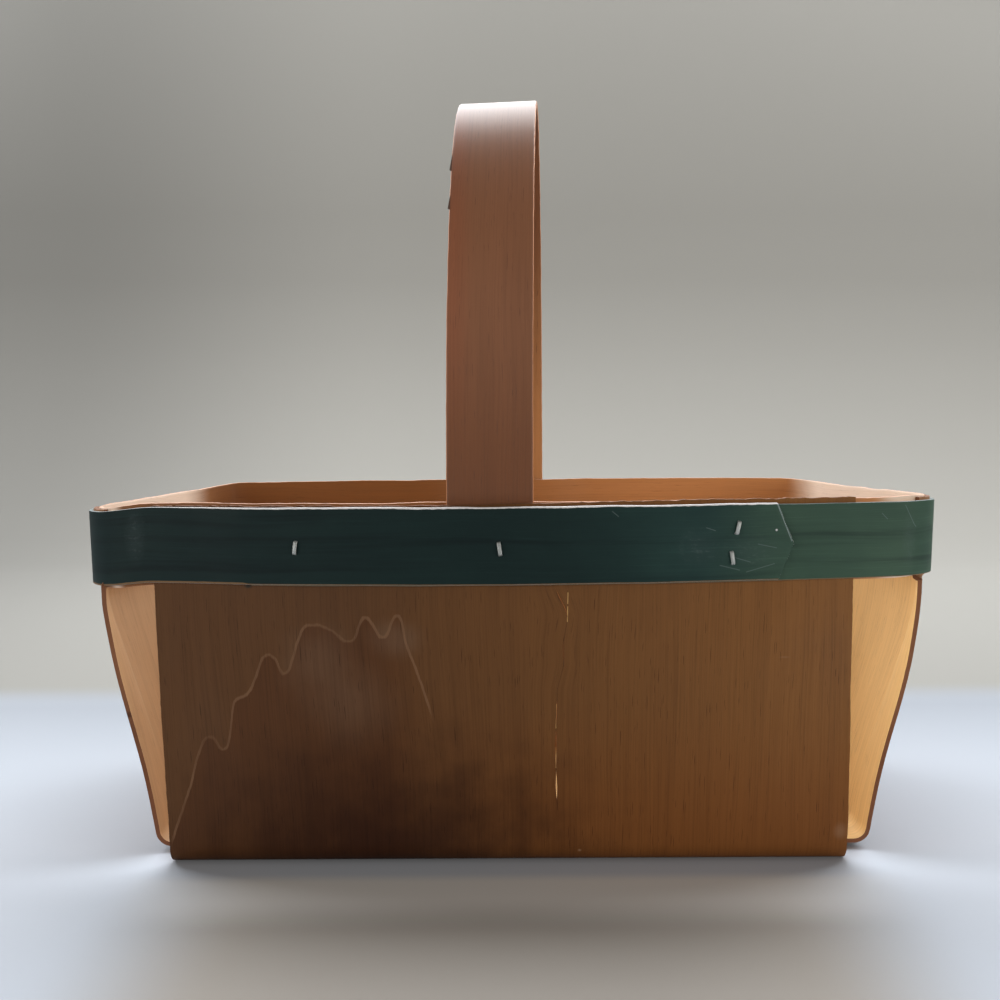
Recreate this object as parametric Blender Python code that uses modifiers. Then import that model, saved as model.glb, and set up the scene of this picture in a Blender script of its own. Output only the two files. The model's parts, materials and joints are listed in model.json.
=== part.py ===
"""A splint-wood berry basket, in metres, +Z up.

Two folded strips of veneer, the side web and the end web, cross at the floor. Their four panels are gripped
at the rim between an outer band, dyed green and wound more than once round, and a plain inner band. A bent
handle is gripped there with them, and flat-wire staples go through the whole pack and are clinched inside.
The front is at -Y, and the basket stands on the floor of the side web.
"""

import math

import bmesh
import bpy
from mathutils import Matrix, Vector

# Rim, measured over the outer band between the middles of opposite walls. The ends turn in towards the back,
# so the front corners stand furthest apart, and the rim dips at each corner but the front right one.
RIM_LENGTH = 0.2963
RIM_DEPTH = 0.1742
RIM_TOP = 0.1243
CORNER_RADIUS = 0.023
SIDE_BOW = 0.013
END_BOW = 0.0022
END_TURN = math.radians(6.8)
END_DIP = 0.0021
DIP_START_SHARE = 0.84
RIM_LEAN = math.radians(1.7)
RIM_LIFT = 0.0007

# Room kept wherever one piece lies on another
CLEARANCE = 0.0003

# Webs: each is one strip that makes a floor and two panels, and the side web lies a little off centre. The
# insets are how much narrower than the rim a web is, and how much shorter than the rim the foot it stands on.
WEB_WALL = 0.0015
WEB_RISE = 0.0005
SIDE_WEB_INSET = 0.0523
SIDE_TAPER = 0.0106
SIDE_FOOT_INSET = 0.0158
SIDE_RIM_SHIFT = -0.003
SIDE_FLOOR_SHIFT = -0.0015
SIDE_FOLD_RADIUS = 0.008
SIDE_FOLD_LEAN = math.radians(6.5)
END_WEB_INSET = 0.0397
END_TAPER = 0.007
END_FOOT_INSET = 0.0414
END_FOLD_RADIUS = 0.006
END_FOLD_LEAN = math.radians(8.8)

# Outer band: starts at the front left, goes once round and laps over its own start as far as the front right
OUTER_WALL = 0.0014
OUTER_HEIGHT = 0.0261
OUTER_START = 0.089
OUTER_END = 0.0955
OUTER_CLIMB = 0.0007
OUTER_RAMP = 0.022
END_CUT = 0.006
END_TIP_SHARE = 0.47

# Inner band: its ends lap behind the outer band's lap, and it closes on the outer band beside the panels
INNER_WALL = 0.0015
INNER_HEIGHT = 0.0285
INNER_RISE = 0.001
INNER_START = 0.060
INNER_END = 0.090
INNER_RAMP = 0.014

# Handle: one bent strip whose legs stand between the panels and the inner band
HANDLE_WIDTH = 0.0293
HANDLE_WALL = 0.0028
HANDLE_TOP = 0.2761
HANDLE_TAIL = 0.004
HANDLE_FRONT_SHIFT = -0.0074
HANDLE_BACK_SHIFT = -0.0016
HANDLE_FULLNESS = 2.17
BULGE_RAMP = 0.024

# Staples, of flat wire
CROWN = 0.0048
WIRE_WIDTH = 0.0013
WIRE_WALL = 0.0006
WIRE_BEND = 0.0007
CLINCH_SPACE = 0.0006
HOLE_OVERRUN = 0.002

# Rounded arrises of the wood, and the turns that count as an arris and that are shaded sharp
BAND_ARRIS = 0.0003
HANDLE_ARRIS = 0.0006
ARRIS_TURN = math.radians(60)
SHARP_TURN = math.radians(30)

# Longest facet, widest turn from one facet to the next, and pieces that curves are cut into
FACET_LENGTH = 0.021
FACET_TURN = math.radians(10)
LEAST_FACET = 0.0025
FOLD_PIECES = 5
PANEL_PIECES = 6
RAMP_PIECES = 5
ARCH_PIECES = 30
BEND_PIECES = 2

# Where the staples are: side of the basket, place across the panel or handle leg, height in the outer band, and
# lean of the crown in degrees. Places are shares of half the panel's or the leg's width, and heights are shares
# of the band's height.
FRONT, RIGHT, BACK, LEFT = range(4)
PANEL_STAPLE_SHARES = {
    "staple_front_left": (FRONT, -0.57, 0.48, 7),
    "staple_lap_upper": (FRONT, 0.645, 0.69, 13),
    "staple_lap_lower": (FRONT, 0.63, 0.30, -8),
    "staple_right_front": (RIGHT, -0.55, 0.50, 5),
    "staple_right_back": (RIGHT, 0.55, 0.48, -6),
    "staple_back_right": (BACK, -0.60, 0.50, -7),
    "staple_back_left": (BACK, 0.62, 0.47, 9),
    "staple_left_back": (LEFT, -0.55, 0.49, 8),
    "staple_left_front": (LEFT, 0.55, 0.51, -4),
}
HANDLE_STAPLE_SHARES = {
    "staple_front_handle": (FRONT, 0.22, 0.46, -8),
    "staple_back_handle": (BACK, -0.20, 0.50, 6),
}

# Colours of the finished surfaces: red, green, blue and roughness
SIDE_WEB_FINISH = (0.20, 0.095, 0.042, 0.55)
END_WEB_FINISH = (0.46, 0.25, 0.115, 0.55)
OUTER_BAND_FINISH = (0.018, 0.052, 0.042, 0.5)
INNER_BAND_FINISH = (0.40, 0.19, 0.075, 0.55)
HANDLE_FINISH = (0.24, 0.115, 0.06, 0.45)
STAPLE_FINISH = (0.45, 0.46, 0.46, 0.35)

# Sizes that follow from those above
SIDE_WEB_WIDTH = RIM_LENGTH - SIDE_WEB_INSET
SIDE_FLOOR_WIDTH = SIDE_WEB_WIDTH - SIDE_TAPER
SIDE_FOOT = RIM_DEPTH - SIDE_FOOT_INSET
END_WEB_WIDTH = RIM_DEPTH - END_WEB_INSET
END_FLOOR_WIDTH = END_WEB_WIDTH - END_TAPER
END_FOOT = RIM_LENGTH - END_FOOT_INSET
OUTER_LAYER = OUTER_WALL + CLEARANCE
SEAT_HALF_LENGTH = RIM_LENGTH / 2 - OUTER_LAYER
SEAT_HALF_DEPTH = (RIM_DEPTH - 3 * OUTER_LAYER) / 2
OUTER_BOTTOM = RIM_TOP - OUTER_HEIGHT
INNER_TOP = RIM_TOP + INNER_RISE
INNER_BOTTOM = INNER_TOP - INNER_HEIGHT
SEAT_BOTTOM = INNER_BOTTOM - HANDLE_TAIL - CLEARANCE


def spread(start, end, pieces):
    """The ends of so many equal pieces from start to end."""
    return [start + (end - start) * i / pieces for i in range(pieces + 1)]


def ease(share):
    """0 before 0, 1 after 1, and a smooth step between."""
    share = min(max(share, 0), 1)
    return share * share * (3 - 2 * share)


class Rim:
    """The line round the outside of the panels: a bowed wall on each side with a corner between each two.

    A place on it is the length walked from the middle of the front towards +X and on round the basket.
    """

    def __init__(self, half_length, half_depth, side_bow, end_bow, corner, end_turn):
        side = self.bow_radius(half_length - corner, side_bow)
        end = self.bow_radius(half_depth - corner, end_bow)
        # The middle of each wall, the direction that it faces there, and its radius
        walls = [
            (Vector((0, -half_depth)), -math.pi / 2, side),
            (Vector((half_length, 0)), end_turn, end),
            (Vector((0, half_depth)), math.pi / 2, side),
            (Vector((-half_length, 0)), math.pi - end_turn, end),
        ]
        centres = [middle - self.direction(facing) * radius for middle, facing, radius in walls]
        self.arcs, self.middles = [], []
        walked, angle = 0, -math.pi / 2
        for wall in (FRONT, RIGHT, BACK, LEFT):
            after = (wall + 1) % len(walls)
            radius, facing = walls[wall][2], walls[wall][1]
            next_radius = walls[after][2]
            meeting = self.corner_centre(centres[wall], radius - corner, centres[after], next_radius - corner)
            self.middles.append(walked + radius * (facing - angle))
            for centre, arc_radius, last in (
                (centres[wall], radius, meeting - centres[wall]),
                (meeting, corner, meeting - centres[after]),
            ):
                turn = (math.atan2(last.y, last.x) - angle) % math.tau
                self.arcs.append((centre, arc_radius, turn))
                walked += arc_radius * turn
                angle += turn
        turn = 3 * math.pi / 2 - angle
        self.arcs.append((centres[FRONT], side, turn))
        self.length = walked + side * turn

    @staticmethod
    def direction(angle):
        return Vector((math.cos(angle), math.sin(angle)))

    @staticmethod
    def bow_radius(reach, bow):
        """The radius of an arc that rises by bow over reach, half its chord."""
        return (reach * reach + bow * bow) / (2 * bow)

    @staticmethod
    def corner_centre(centre, distance, next_centre, next_distance):
        """The point at these two distances from the centres of two walls, in the corner between them."""
        apart = next_centre - centre
        share = (distance**2 - next_distance**2 + apart.length_squared) / (2 * apart.length_squared)
        foot = centre + apart * share
        off = math.sqrt(distance**2 - (foot - centre).length_squared)
        return foot + off * Vector((-apart.y, apart.x)).normalized()

    def frame(self, place):
        """The arc's centre and radius at a place, and the direction straight out from there."""
        left = place % self.length
        angle = -math.pi / 2
        for centre, radius, turn in self.arcs:
            if left <= radius * turn:
                break
            left -= radius * turn
            angle += turn
        return centre, radius, self.direction(angle + left / radius)

    def point(self, place, height, out):
        """A point so far out from the panels' outer face, which leans out towards the rim's top."""
        centre, radius, outward = self.frame(place)
        reach = radius + out - (RIM_TOP - height) * math.tan(RIM_LEAN)
        x, y = centre + outward * reach
        dip = END_DIP * ease((abs(x) / SEAT_HALF_LENGTH - DIP_START_SHARE) / (1 - DIP_START_SHARE))
        if x > 0:
            dip *= ease((y / SEAT_HALF_DEPTH + 1) / 2)
        return Vector((x, y, height + RIM_LIFT * x / SEAT_HALF_LENGTH - dip))

    def stations(self, start, end, ramps=(), last=LEAST_FACET):
        """Places from start to end, near enough together to follow the arcs and the ramps."""
        found = {start, end}
        reached = math.floor(start / self.length) * self.length
        while reached < end:
            for _, radius, turn in self.arcs:
                pieces = math.ceil(max(turn / FACET_TURN, radius * turn / FACET_LENGTH))
                found.update(spread(reached, reached + radius * turn, pieces))
                reached += radius * turn
        for low, high in ramps:
            found = {place for place in found if not low < place < high}
            found.update(spread(low, high, RAMP_PIECES))
        kept = [start]
        for place in sorted(found):
            if place - kept[-1] > LEAST_FACET and end - place > last:
                kept.append(place)
        return kept + [end]


def new_material(name, finish, metallic=0):
    material = bpy.data.materials.new(name)
    material.use_nodes = True
    shader = material.node_tree.nodes["Principled BSDF"]
    shader.inputs["Base Color"].default_value = (*finish[:3], 1)
    shader.inputs["Roughness"].default_value = finish[3]
    shader.inputs["Metallic"].default_value = metallic
    return material


def bent_sheet(name, columns, rows, bend, wall):
    """A flat sheet bent to shape: bend(column, row) is a point of its outer face, and the wall lies inside it."""
    sheet = bmesh.new()
    across, along = len(columns) - 1, len(rows) - 1
    bmesh.ops.create_grid(sheet, x_segments=across, y_segments=along, size=1)
    for vertex in sheet.verts:
        column = round((vertex.co.x + 1) / 2 * across)
        row = round((vertex.co.y + 1) / 2 * along)
        vertex.co = bend(columns[column], rows[row])
    mesh = bpy.data.meshes.new(name)
    sheet.to_mesh(mesh)
    sheet.free()
    piece = bpy.data.objects.new(name, mesh)
    solidify = piece.modifiers.new("Wall", "SOLIDIFY")
    solidify.thickness = wall
    solidify.offset = -1
    solidify.use_even_offset = True
    return piece


def round_arrises(piece, width):
    bevel = piece.modifiers.new("Arrises", "BEVEL")
    bevel.width = width
    bevel.segments = 1
    bevel.limit_method = "ANGLE"
    bevel.angle_limit = ARRIS_TURN


def cut_with(piece, cutter):
    boolean = piece.modifiers.new("Staple holes", "BOOLEAN")
    boolean.operation = "DIFFERENCE"
    boolean.solver = "EXACT"
    boolean.object = cutter


def settle(piece):
    """Keeps the shape that the modifiers make, and shades it smooth up to its arrises."""
    bpy.context.view_layer.update()
    graph = bpy.context.evaluated_depsgraph_get()
    mesh = bpy.data.meshes.new_from_object(piece.evaluated_get(graph))
    mesh.name = piece.name
    piece.modifiers.clear()
    piece.data = mesh
    mesh.shade_smooth()
    mesh.set_sharp_from_angle(angle=SHARP_TURN)


def panel_edges(rim, side):
    """The places on the rim where a panel begins and ends."""
    if side in (FRONT, BACK):
        middle = rim.middles[side] + (SIDE_RIM_SHIFT if side == FRONT else -SIDE_RIM_SHIFT)
        return middle - SIDE_WEB_WIDTH / 2, middle + SIDE_WEB_WIDTH / 2
    return rim.middles[side] - END_WEB_WIDTH / 2, rim.middles[side] + END_WEB_WIDTH / 2


def web_columns(rim, near, far):
    """Shares of a web's width at which both its panels follow the rim."""
    found = []
    for first, last in (near, far):
        places = rim.stations(min(first, last), max(first, last))
        found += [(place - first) / (last - first) for place in places]
    least = LEAST_FACET / abs(near[1] - near[0])
    kept = [0]
    for share in sorted(found):
        if share - kept[-1] > least and 1 - share > least:
            kept.append(share)
    return kept + [1]


def make_web(name, rim, side, floor_width, floor_shift, foot, fold_radius, fold_lean, floor):
    """One strip from the top of one panel, down and across the floor to the top of the other.

    Its rows are counted in stages from the middle of the floor: 0 to 1 is the floor, 1 to 2 the fold, 2 to 3 the
    panel up to the rim, and 3 to 4 the stretch that the bands grip. They are negative on the far side.
    """
    near = panel_edges(rim, side)
    far = panel_edges(rim, side + 2)[::-1]
    facing = Vector((0, -1, 0)) if side == FRONT else Vector((1, 0, 0))
    sideways = Vector((-facing.y, facing.x, 0))
    up = Vector((0, 0, 1))
    fold_turn = math.pi / 2 - fold_lean

    def bend(share, signed_stage):
        outward, edges = (facing, near) if signed_stage >= 0 else (-facing, far)
        stage = abs(signed_stage)
        base = sideways * (floor_shift + floor_width * (share - 1 / 2))
        if stage <= 1:
            return base + outward * (foot / 2 - fold_radius) * stage + up * floor
        turn = fold_turn * min(stage - 1, 1)
        fold_centre = base + outward * (foot / 2 - fold_radius) + up * (floor + fold_radius)
        folded = fold_centre + (outward * math.sin(turn) - up * math.cos(turn)) * fold_radius
        if stage <= 2:
            return folded
        place = edges[0] + (edges[1] - edges[0]) * share
        seat_low = rim.point(place, SEAT_BOTTOM, 0)
        seat_high = rim.point(place, RIM_TOP + WEB_RISE, 0)
        if stage > 3:
            return seat_low.lerp(seat_high, stage - 3)
        third = (seat_low.z - folded.z) / 3
        leaving = (outward * math.tan(fold_lean) + up) * third
        arriving = (seat_high - seat_low) / (seat_high.z - seat_low.z) * third
        points = (folded, folded + leaving, seat_low - arriving, seat_low)
        rise = stage - 2
        weights = [math.comb(3, i) * rise**i * (1 - rise) ** (3 - i) for i in range(4)]
        return sum((point * weight for point, weight in zip(points, weights)), Vector())

    half = [*spread(1, 2, FOLD_PIECES), *spread(2, 3, PANEL_PIECES)[1:], 4]
    rows = [-stage for stage in reversed(half)] + half
    return bent_sheet(name, web_columns(rim, near, far), rows, bend, WEB_WALL)


def outer_band_out(rim, place):
    """How far the outer band's outer face stands out from the panels, on its way round."""
    ramp_end = rim.length - OUTER_START - CLEARANCE
    lift = ease((place - ramp_end + OUTER_RAMP) / OUTER_RAMP)
    return OUTER_LAYER * (1 + lift)


def outer_band_ends(rim):
    """The places where the outer band starts and ends."""
    return -OUTER_START, rim.length + OUTER_END


def make_outer_band(rim):
    start, end = outer_band_ends(rim)

    def bend(place, share):
        out = outer_band_out(rim, place)
        low = OUTER_BOTTOM - OUTER_CLIMB * (end - place) / (end - start)
        if place == end:
            cut_share = abs(share - END_TIP_SHARE) / max(END_TIP_SHARE, 1 - END_TIP_SHARE)
            place -= END_CUT * cut_share
        return rim.point(place, low + OUTER_HEIGHT * share, out)

    ramp_end = rim.length - OUTER_START - CLEARANCE
    columns = rim.stations(start, end, [(ramp_end - OUTER_RAMP, ramp_end)], last=LEAST_FACET + END_CUT)
    return bent_sheet("outer_band", columns, [0, END_TIP_SHARE, 1], bend, OUTER_WALL)


def leg_edges(rim, side):
    """The places on the rim where a handle leg begins and ends, with room beside it."""
    middle = rim.middles[side] + (HANDLE_FRONT_SHIFT if side == FRONT else -HANDLE_BACK_SHIFT)
    return middle - HANDLE_WIDTH / 2 - CLEARANCE, middle + HANDLE_WIDTH / 2 + CLEARANCE


def inner_band_ends(rim):
    """The places where the inner band starts and ends, one turn and a lap apart."""
    return INNER_START, rim.length + INNER_END


def inner_band_in(rim, place):
    """How far the inner band's outer face lies in from the panels' outer face, on its way round."""

    def grip(edges, ramp):
        low, high = edges
        away = abs((place - (low + high) / 2 + rim.length / 2) % rim.length - rim.length / 2)
        return 1 - ease((away - (high - low) / 2) / ramp)

    panels = [grip(panel_edges(rim, side), INNER_RAMP) for side in (FRONT, RIGHT, BACK, LEFT)]
    legs = [grip(leg_edges(rim, side), BULGE_RAMP) for side in (FRONT, BACK)]
    leg_room = leg_set_in(rim) + HANDLE_WALL
    ramp_end = inner_band_ends(rim)[0] + rim.length - CLEARANCE
    lift = ease((place - ramp_end + INNER_RAMP) / INNER_RAMP)
    return CLEARANCE + WEB_WALL * max(panels) + leg_room * max(legs) + (INNER_WALL + CLEARANCE) * lift


def leg_set_in(rim):
    """How much further in than the panel's inner face a leg lies at its middle, as the panel is bowed."""
    far_edge = max(abs(HANDLE_FRONT_SHIFT), abs(HANDLE_BACK_SHIFT)) + HANDLE_WIDTH / 2
    bow = rim.point(far_edge, RIM_TOP, 0).y - rim.point(0, RIM_TOP, 0).y
    return CLEARANCE + bow


def make_inner_band(rim):
    start, end = inner_band_ends(rim)
    ramp_end = start + rim.length - CLEARANCE

    def bend(place, share):
        return rim.point(place, INNER_BOTTOM + INNER_HEIGHT * share, -inner_band_in(rim, place))

    gripped = [(panel_edges(rim, side), INNER_RAMP) for side in (FRONT, RIGHT, BACK, LEFT)]
    gripped += [(leg_edges(rim, side), BULGE_RAMP) for side in (FRONT, BACK)]
    ramps = [(ramp_end - INNER_RAMP, ramp_end)]
    for turn in (0, rim.length):
        for (low, high), ramp in gripped:
            ramps += [(low + turn - ramp, low + turn), (high + turn, high + turn + ramp)]
    ramps = [(low, high) for low, high in ramps if start < low and high < end]
    return bent_sheet("inner_band", rim.stations(start, end, ramps), [0, 1], bend, INNER_WALL)


def make_handle(rim):
    """A strip whose outer face follows the seat up to the rim and then a full arch, and drifts along X."""
    set_in = WEB_WALL + leg_set_in(rim)
    leg_rows = [rim.point(0, height, -set_in) for height in (INNER_BOTTOM - HANDLE_TAIL, RIM_TOP)]
    half_span = -leg_rows[1].y
    power = 2 / HANDLE_FULLNESS
    arch = []
    for angle in spread(0, math.pi, ARCH_PIECES)[1:-1]:
        reach = half_span * abs(math.cos(angle)) ** power
        height = RIM_TOP + (HANDLE_TOP - RIM_TOP) * math.sin(angle) ** power
        arch.append(Vector((0, -math.copysign(reach, math.cos(angle)), height)))
    flip = Vector((1, -1, 1))
    rows = [*leg_rows, *arch, *(row * flip for row in reversed(leg_rows))]

    def bend(across, row):
        share = (row.y + half_span) / (2 * half_span)
        share = min(max(share, 0), 1)
        shift = HANDLE_FRONT_SHIFT + (HANDLE_BACK_SHIFT - HANDLE_FRONT_SHIFT) * share
        return row + Vector((across + shift, 0, 0))

    return bent_sheet("handle", [-HANDLE_WIDTH / 2, HANDLE_WIDTH / 2], rows, bend, HANDLE_WALL)


def last_round(rim, place, end):
    """The same place counted on a band's last round, when the band ends there."""
    return end - (end - place) % rim.length


def rounded(points, radius):
    """The same path with each corner inside it turned into an arc."""
    path = [points[0]]
    for before, corner, after in zip(points, points[1:], points[2:]):
        to_before, to_after = (before - corner).normalized(), (after - corner).normalized()
        half = to_before.angle(to_after) / 2
        centre = corner + (to_before + to_after).normalized() * radius / math.sin(half)
        first = (corner + to_before * radius / math.tan(half) - centre).normalized()
        last = (corner + to_after * radius / math.tan(half) - centre).normalized()
        path += [centre + first.slerp(last, share) * radius for share in spread(0, 1, BEND_PIECES)]
    return path + [points[-1]]


class Staple:
    """A staple's place, and how deep the pack is that it goes through."""

    def __init__(self, rim, name, place, height_share, lean):
        self.name = name
        height = OUTER_BOTTOM + OUTER_HEIGHT * height_share
        self.outward = rim.frame(place)[2].to_3d()
        tangent = Vector((-self.outward.y, self.outward.x, 0))
        turn = Matrix.Rotation(math.radians(-lean), 3, tangent.cross(Vector((0, 0, 1))))
        self.crown = (turn @ Vector((0, 0, 1))).normalized()
        self.across = self.crown.cross(self.outward)
        self.foot = rim.point(place, height, 0)
        self.front = outer_band_out(rim, last_round(rim, place, outer_band_ends(rim)[1]))
        self.back = inner_band_in(rim, last_round(rim, place, inner_band_ends(rim)[1])) + INNER_WALL

    def make(self):
        half, top = CROWN / 2, self.front + CLEARANCE + WIRE_WALL
        bottom = -(self.back + CLEARANCE + WIRE_WALL)
        tip = CLINCH_SPACE / 2
        corners = [(-tip, bottom), (-half, bottom), (-half, top), (half, top), (half, bottom), (tip, bottom)]
        points = [self.foot + self.crown * along + self.outward * out for along, out in corners]
        rows = rounded(points, WIRE_BEND)
        columns = [self.across * -WIRE_WIDTH / 2, self.across * WIRE_WIDTH / 2]
        return bent_sheet(self.name, columns, rows, lambda column, row: row + column, WIRE_WALL)

    def add_holes(self, cutter):
        """The two holes that the legs go through, with room round the wire."""
        depth = self.front + self.back + 2 * HOLE_OVERRUN
        middle = self.foot + self.outward * (self.front - self.back) / 2
        leg = self.crown * (CROWN - WIRE_WALL) / 2
        sizes = (WIRE_WIDTH + 2 * CLEARANCE, WIRE_WALL + 2 * CLEARANCE, depth)
        axes = Matrix((self.across, self.crown, self.outward)).transposed().to_4x4()
        for centre in (middle - leg, middle + leg):
            box = Matrix.Translation(centre) @ axes @ Matrix.Diagonal((*sizes, 1))
            bmesh.ops.create_cube(cutter, size=1, matrix=box)


def make_staples(rim):
    staples = []
    for shares, edges in ((PANEL_STAPLE_SHARES, panel_edges), (HANDLE_STAPLE_SHARES, leg_edges)):
        for name, (side, share, height, lean) in shares.items():
            low, high = edges(rim, side)
            place = low + (high - low) * (1 + share) / 2
            staples.append(Staple(rim, name, place, height, lean))
    return staples


def make_hole_cutter(staples):
    holes = bmesh.new()
    for staple in staples:
        staple.add_holes(holes)
    bmesh.ops.recalc_face_normals(holes, faces=holes.faces)
    mesh = bpy.data.meshes.new("staple_hole_cutter")
    holes.to_mesh(mesh)
    holes.free()
    cutter = bpy.data.objects.new("staple_hole_cutter", mesh)
    cutter.display_type = "WIRE"
    cutter.hide_render = True
    return cutter


def new_collection(name):
    collection = bpy.data.collections.new(name)
    bpy.context.scene.collection.children.link(collection)
    return collection


def main():
    for thing in list(bpy.data.objects):
        bpy.data.objects.remove(thing)
    basket = new_collection("berry_basket")
    cutters = new_collection("cutters")
    rim = Rim(SEAT_HALF_LENGTH, SEAT_HALF_DEPTH, SIDE_BOW, END_BOW, CORNER_RADIUS, END_TURN)

    # The lap makes the front one layer thicker, so the rim's own middle lies that much behind the origin
    centre = bpy.data.objects.new("rim_centre", None)
    centre.location.y = OUTER_LAYER / 2
    basket.objects.link(centre)

    staples = make_staples(rim)
    cutter = make_hole_cutter(staples)
    cutter.parent = centre
    cutters.objects.link(cutter)

    sizes = (SIDE_FLOOR_WIDTH, SIDE_FLOOR_SHIFT, SIDE_FOOT, SIDE_FOLD_RADIUS, SIDE_FOLD_LEAN)
    side_web = make_web("side_web", rim, FRONT, *sizes, floor=0)
    sizes = (END_FLOOR_WIDTH, 0, END_FOOT, END_FOLD_RADIUS, END_FOLD_LEAN)
    end_web = make_web("end_web", rim, RIGHT, *sizes, floor=WEB_WALL + CLEARANCE)
    wood = [
        (side_web, SIDE_WEB_FINISH, 0),
        (end_web, END_WEB_FINISH, 0),
        (make_outer_band(rim), OUTER_BAND_FINISH, BAND_ARRIS),
        (make_inner_band(rim), INNER_BAND_FINISH, BAND_ARRIS),
        (make_handle(rim), HANDLE_FINISH, HANDLE_ARRIS),
    ]
    for piece, finish, arris in wood:
        piece.parent = centre
        basket.objects.link(piece)
        piece.data.materials.append(new_material(piece.name, finish))
        if arris:
            round_arrises(piece, arris)
        cut_with(piece, cutter)
        settle(piece)

    steel = new_material("staple_wire", STAPLE_FINISH, metallic=1)
    for staple in staples:
        piece = staple.make()
        piece.parent = centre
        basket.objects.link(piece)
        piece.data.materials.append(steel)
        settle(piece)


main()
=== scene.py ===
"""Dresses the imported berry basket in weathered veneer, dyed splint and steel wire, and stages it.

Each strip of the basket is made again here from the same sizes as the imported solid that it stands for, with
torn edges, a split panel and rounded arrises. All lengths are in metres, and the front is at -Y.
"""

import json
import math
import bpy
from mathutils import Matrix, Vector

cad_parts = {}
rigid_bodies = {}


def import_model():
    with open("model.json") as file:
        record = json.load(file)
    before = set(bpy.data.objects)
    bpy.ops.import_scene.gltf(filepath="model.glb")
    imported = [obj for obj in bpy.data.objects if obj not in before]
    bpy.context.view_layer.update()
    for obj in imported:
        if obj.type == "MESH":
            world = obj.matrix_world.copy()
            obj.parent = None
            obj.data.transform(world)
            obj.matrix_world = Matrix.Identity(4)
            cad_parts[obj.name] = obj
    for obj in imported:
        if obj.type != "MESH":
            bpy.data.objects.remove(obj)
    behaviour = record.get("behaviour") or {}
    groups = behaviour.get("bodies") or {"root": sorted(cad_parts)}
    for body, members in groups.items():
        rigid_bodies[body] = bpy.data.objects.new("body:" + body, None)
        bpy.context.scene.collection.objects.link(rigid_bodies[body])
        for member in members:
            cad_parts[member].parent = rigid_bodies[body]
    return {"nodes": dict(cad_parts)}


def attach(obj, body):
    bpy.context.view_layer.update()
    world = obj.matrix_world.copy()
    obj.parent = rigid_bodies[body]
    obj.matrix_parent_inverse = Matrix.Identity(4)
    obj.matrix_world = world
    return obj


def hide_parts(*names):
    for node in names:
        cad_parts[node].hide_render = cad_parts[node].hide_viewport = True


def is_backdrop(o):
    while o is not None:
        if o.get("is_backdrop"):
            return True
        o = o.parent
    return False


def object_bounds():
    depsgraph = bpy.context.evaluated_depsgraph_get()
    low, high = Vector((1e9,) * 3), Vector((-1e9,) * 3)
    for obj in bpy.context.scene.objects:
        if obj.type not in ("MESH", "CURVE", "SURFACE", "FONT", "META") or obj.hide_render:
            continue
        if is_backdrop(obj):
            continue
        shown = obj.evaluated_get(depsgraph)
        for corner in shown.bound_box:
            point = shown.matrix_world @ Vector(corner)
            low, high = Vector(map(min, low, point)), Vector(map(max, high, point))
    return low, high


bl_info = {
    "name": "Berry basket",
    "version": (1, 0, 0),
    "blender": (4, 5, 0),
    "location": "3D View > Sidebar > Basket",
    "description": "Makes a splint-wood berry basket with worn edges, dye and staples",
    "category": "Object",
}

from functools import cached_property

import bmesh
import bpy
from bpy.props import FloatProperty, FloatVectorProperty, PointerProperty
from bpy.types import Operator, Panel, PropertyGroup
from mathutils import Matrix, Vector, noise

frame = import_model()
CAD_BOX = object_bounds()

FRONT, RIGHT, BACK, LEFT = range(4)
GRAIN_MAP = "Grain"
NUMBER, VECTOR = "NodeSocketFloat", "NodeSocketVector"
SHARP_ANGLE = math.radians(40)
BUMP_DEPTH = 0.00025

# How the grain darkens: which of its values, from where to where, by how much at most, and to which tint
FIGURE = (
    ("Broad", 0.40, 0.72, 0.22, (0.55, 0.52, 0.50, 1)),
    ("Fine", 0.40, 0.75, 0.38, (0.55, 0.52, 0.50, 1)),
    ("Stain", 0.48, 0.78, 0.30, (0.62, 0.55, 0.50, 1)),
    ("Pores", 0.0, 1.0, 0.75, (0.45, 0.40, 0.38, 1)),
)

# A web's rows: the stage that each run of them reaches and how many they are
WEB_ROWS = ((1, 10), (2, 8), (3, 54), (3.10, 4), (3.18, 9), (4, 7))
# How wide the columns of the webs' and the bands' sheets are
WEB_COLUMN, BAND_COLUMN = 0.0011, 0.002
# How deep the webs' cut edges are nicked
NICKS = 0.0004
# How softly an end panel takes on the bands' upright stance, where 1 is as softly as a long panel
END_PANEL_LIMPNESS = {RIGHT: 0.75, LEFT: 0.3}
# An end panel's corners turn slack over this drop below the bands, and less from SLACK_FULL down to SLACK_LOW
SLACK_UNDER_BANDS = 0.0012
SLACK_FULL, SLACK_LOW = 0.07, 0.02
# The heights between which the panel follows the crack, and how far it is drawn along beside it
CRACK_FADE = (0.012, 0.098)
CRACK_REACH = 0.012
# How far the left edge of the arch hangs at its top
ARCH_SAG = 0.0013
WIRE_ARRIS = 0.00015

ROOM_LIGHT, ROOM_STRENGTH = (1, 0.97, 0.93, 1), 0.21
COOL, WARM = (0.93, 0.97, 1), (1, 0.95, 0.87)
# Each lamp's place, the height over the basket's middle that it faces, its width, height, power and colour
LAMPS = {
    "window_behind": ((0.08, 0.75, 1.1), 0.15, 2.0, 1.1, 45, COOL),
    "window_left": ((-1.05, 0.75, 0.85), 0.1, 0.9, 0.7, 15, COOL),
    "window_right": ((1.05, 0.75, 0.85), 0.1, 0.9, 0.7, 8, COOL),
    "room_left": ((-1.35, -1.15, 0.32), 0.08, 1.0, 0.5, 11, WARM),
    "room_right": ((1.35, -1.15, 0.32), 0.08, 1.0, 0.5, 13, WARM),
}


def size(name, description, default):
    return FloatProperty(name=name, description=description, default=default, unit="LENGTH", precision=4)


def turn(name, description, degrees):
    return FloatProperty(name=name, description=description, default=math.radians(degrees), unit="ROTATION")


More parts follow.
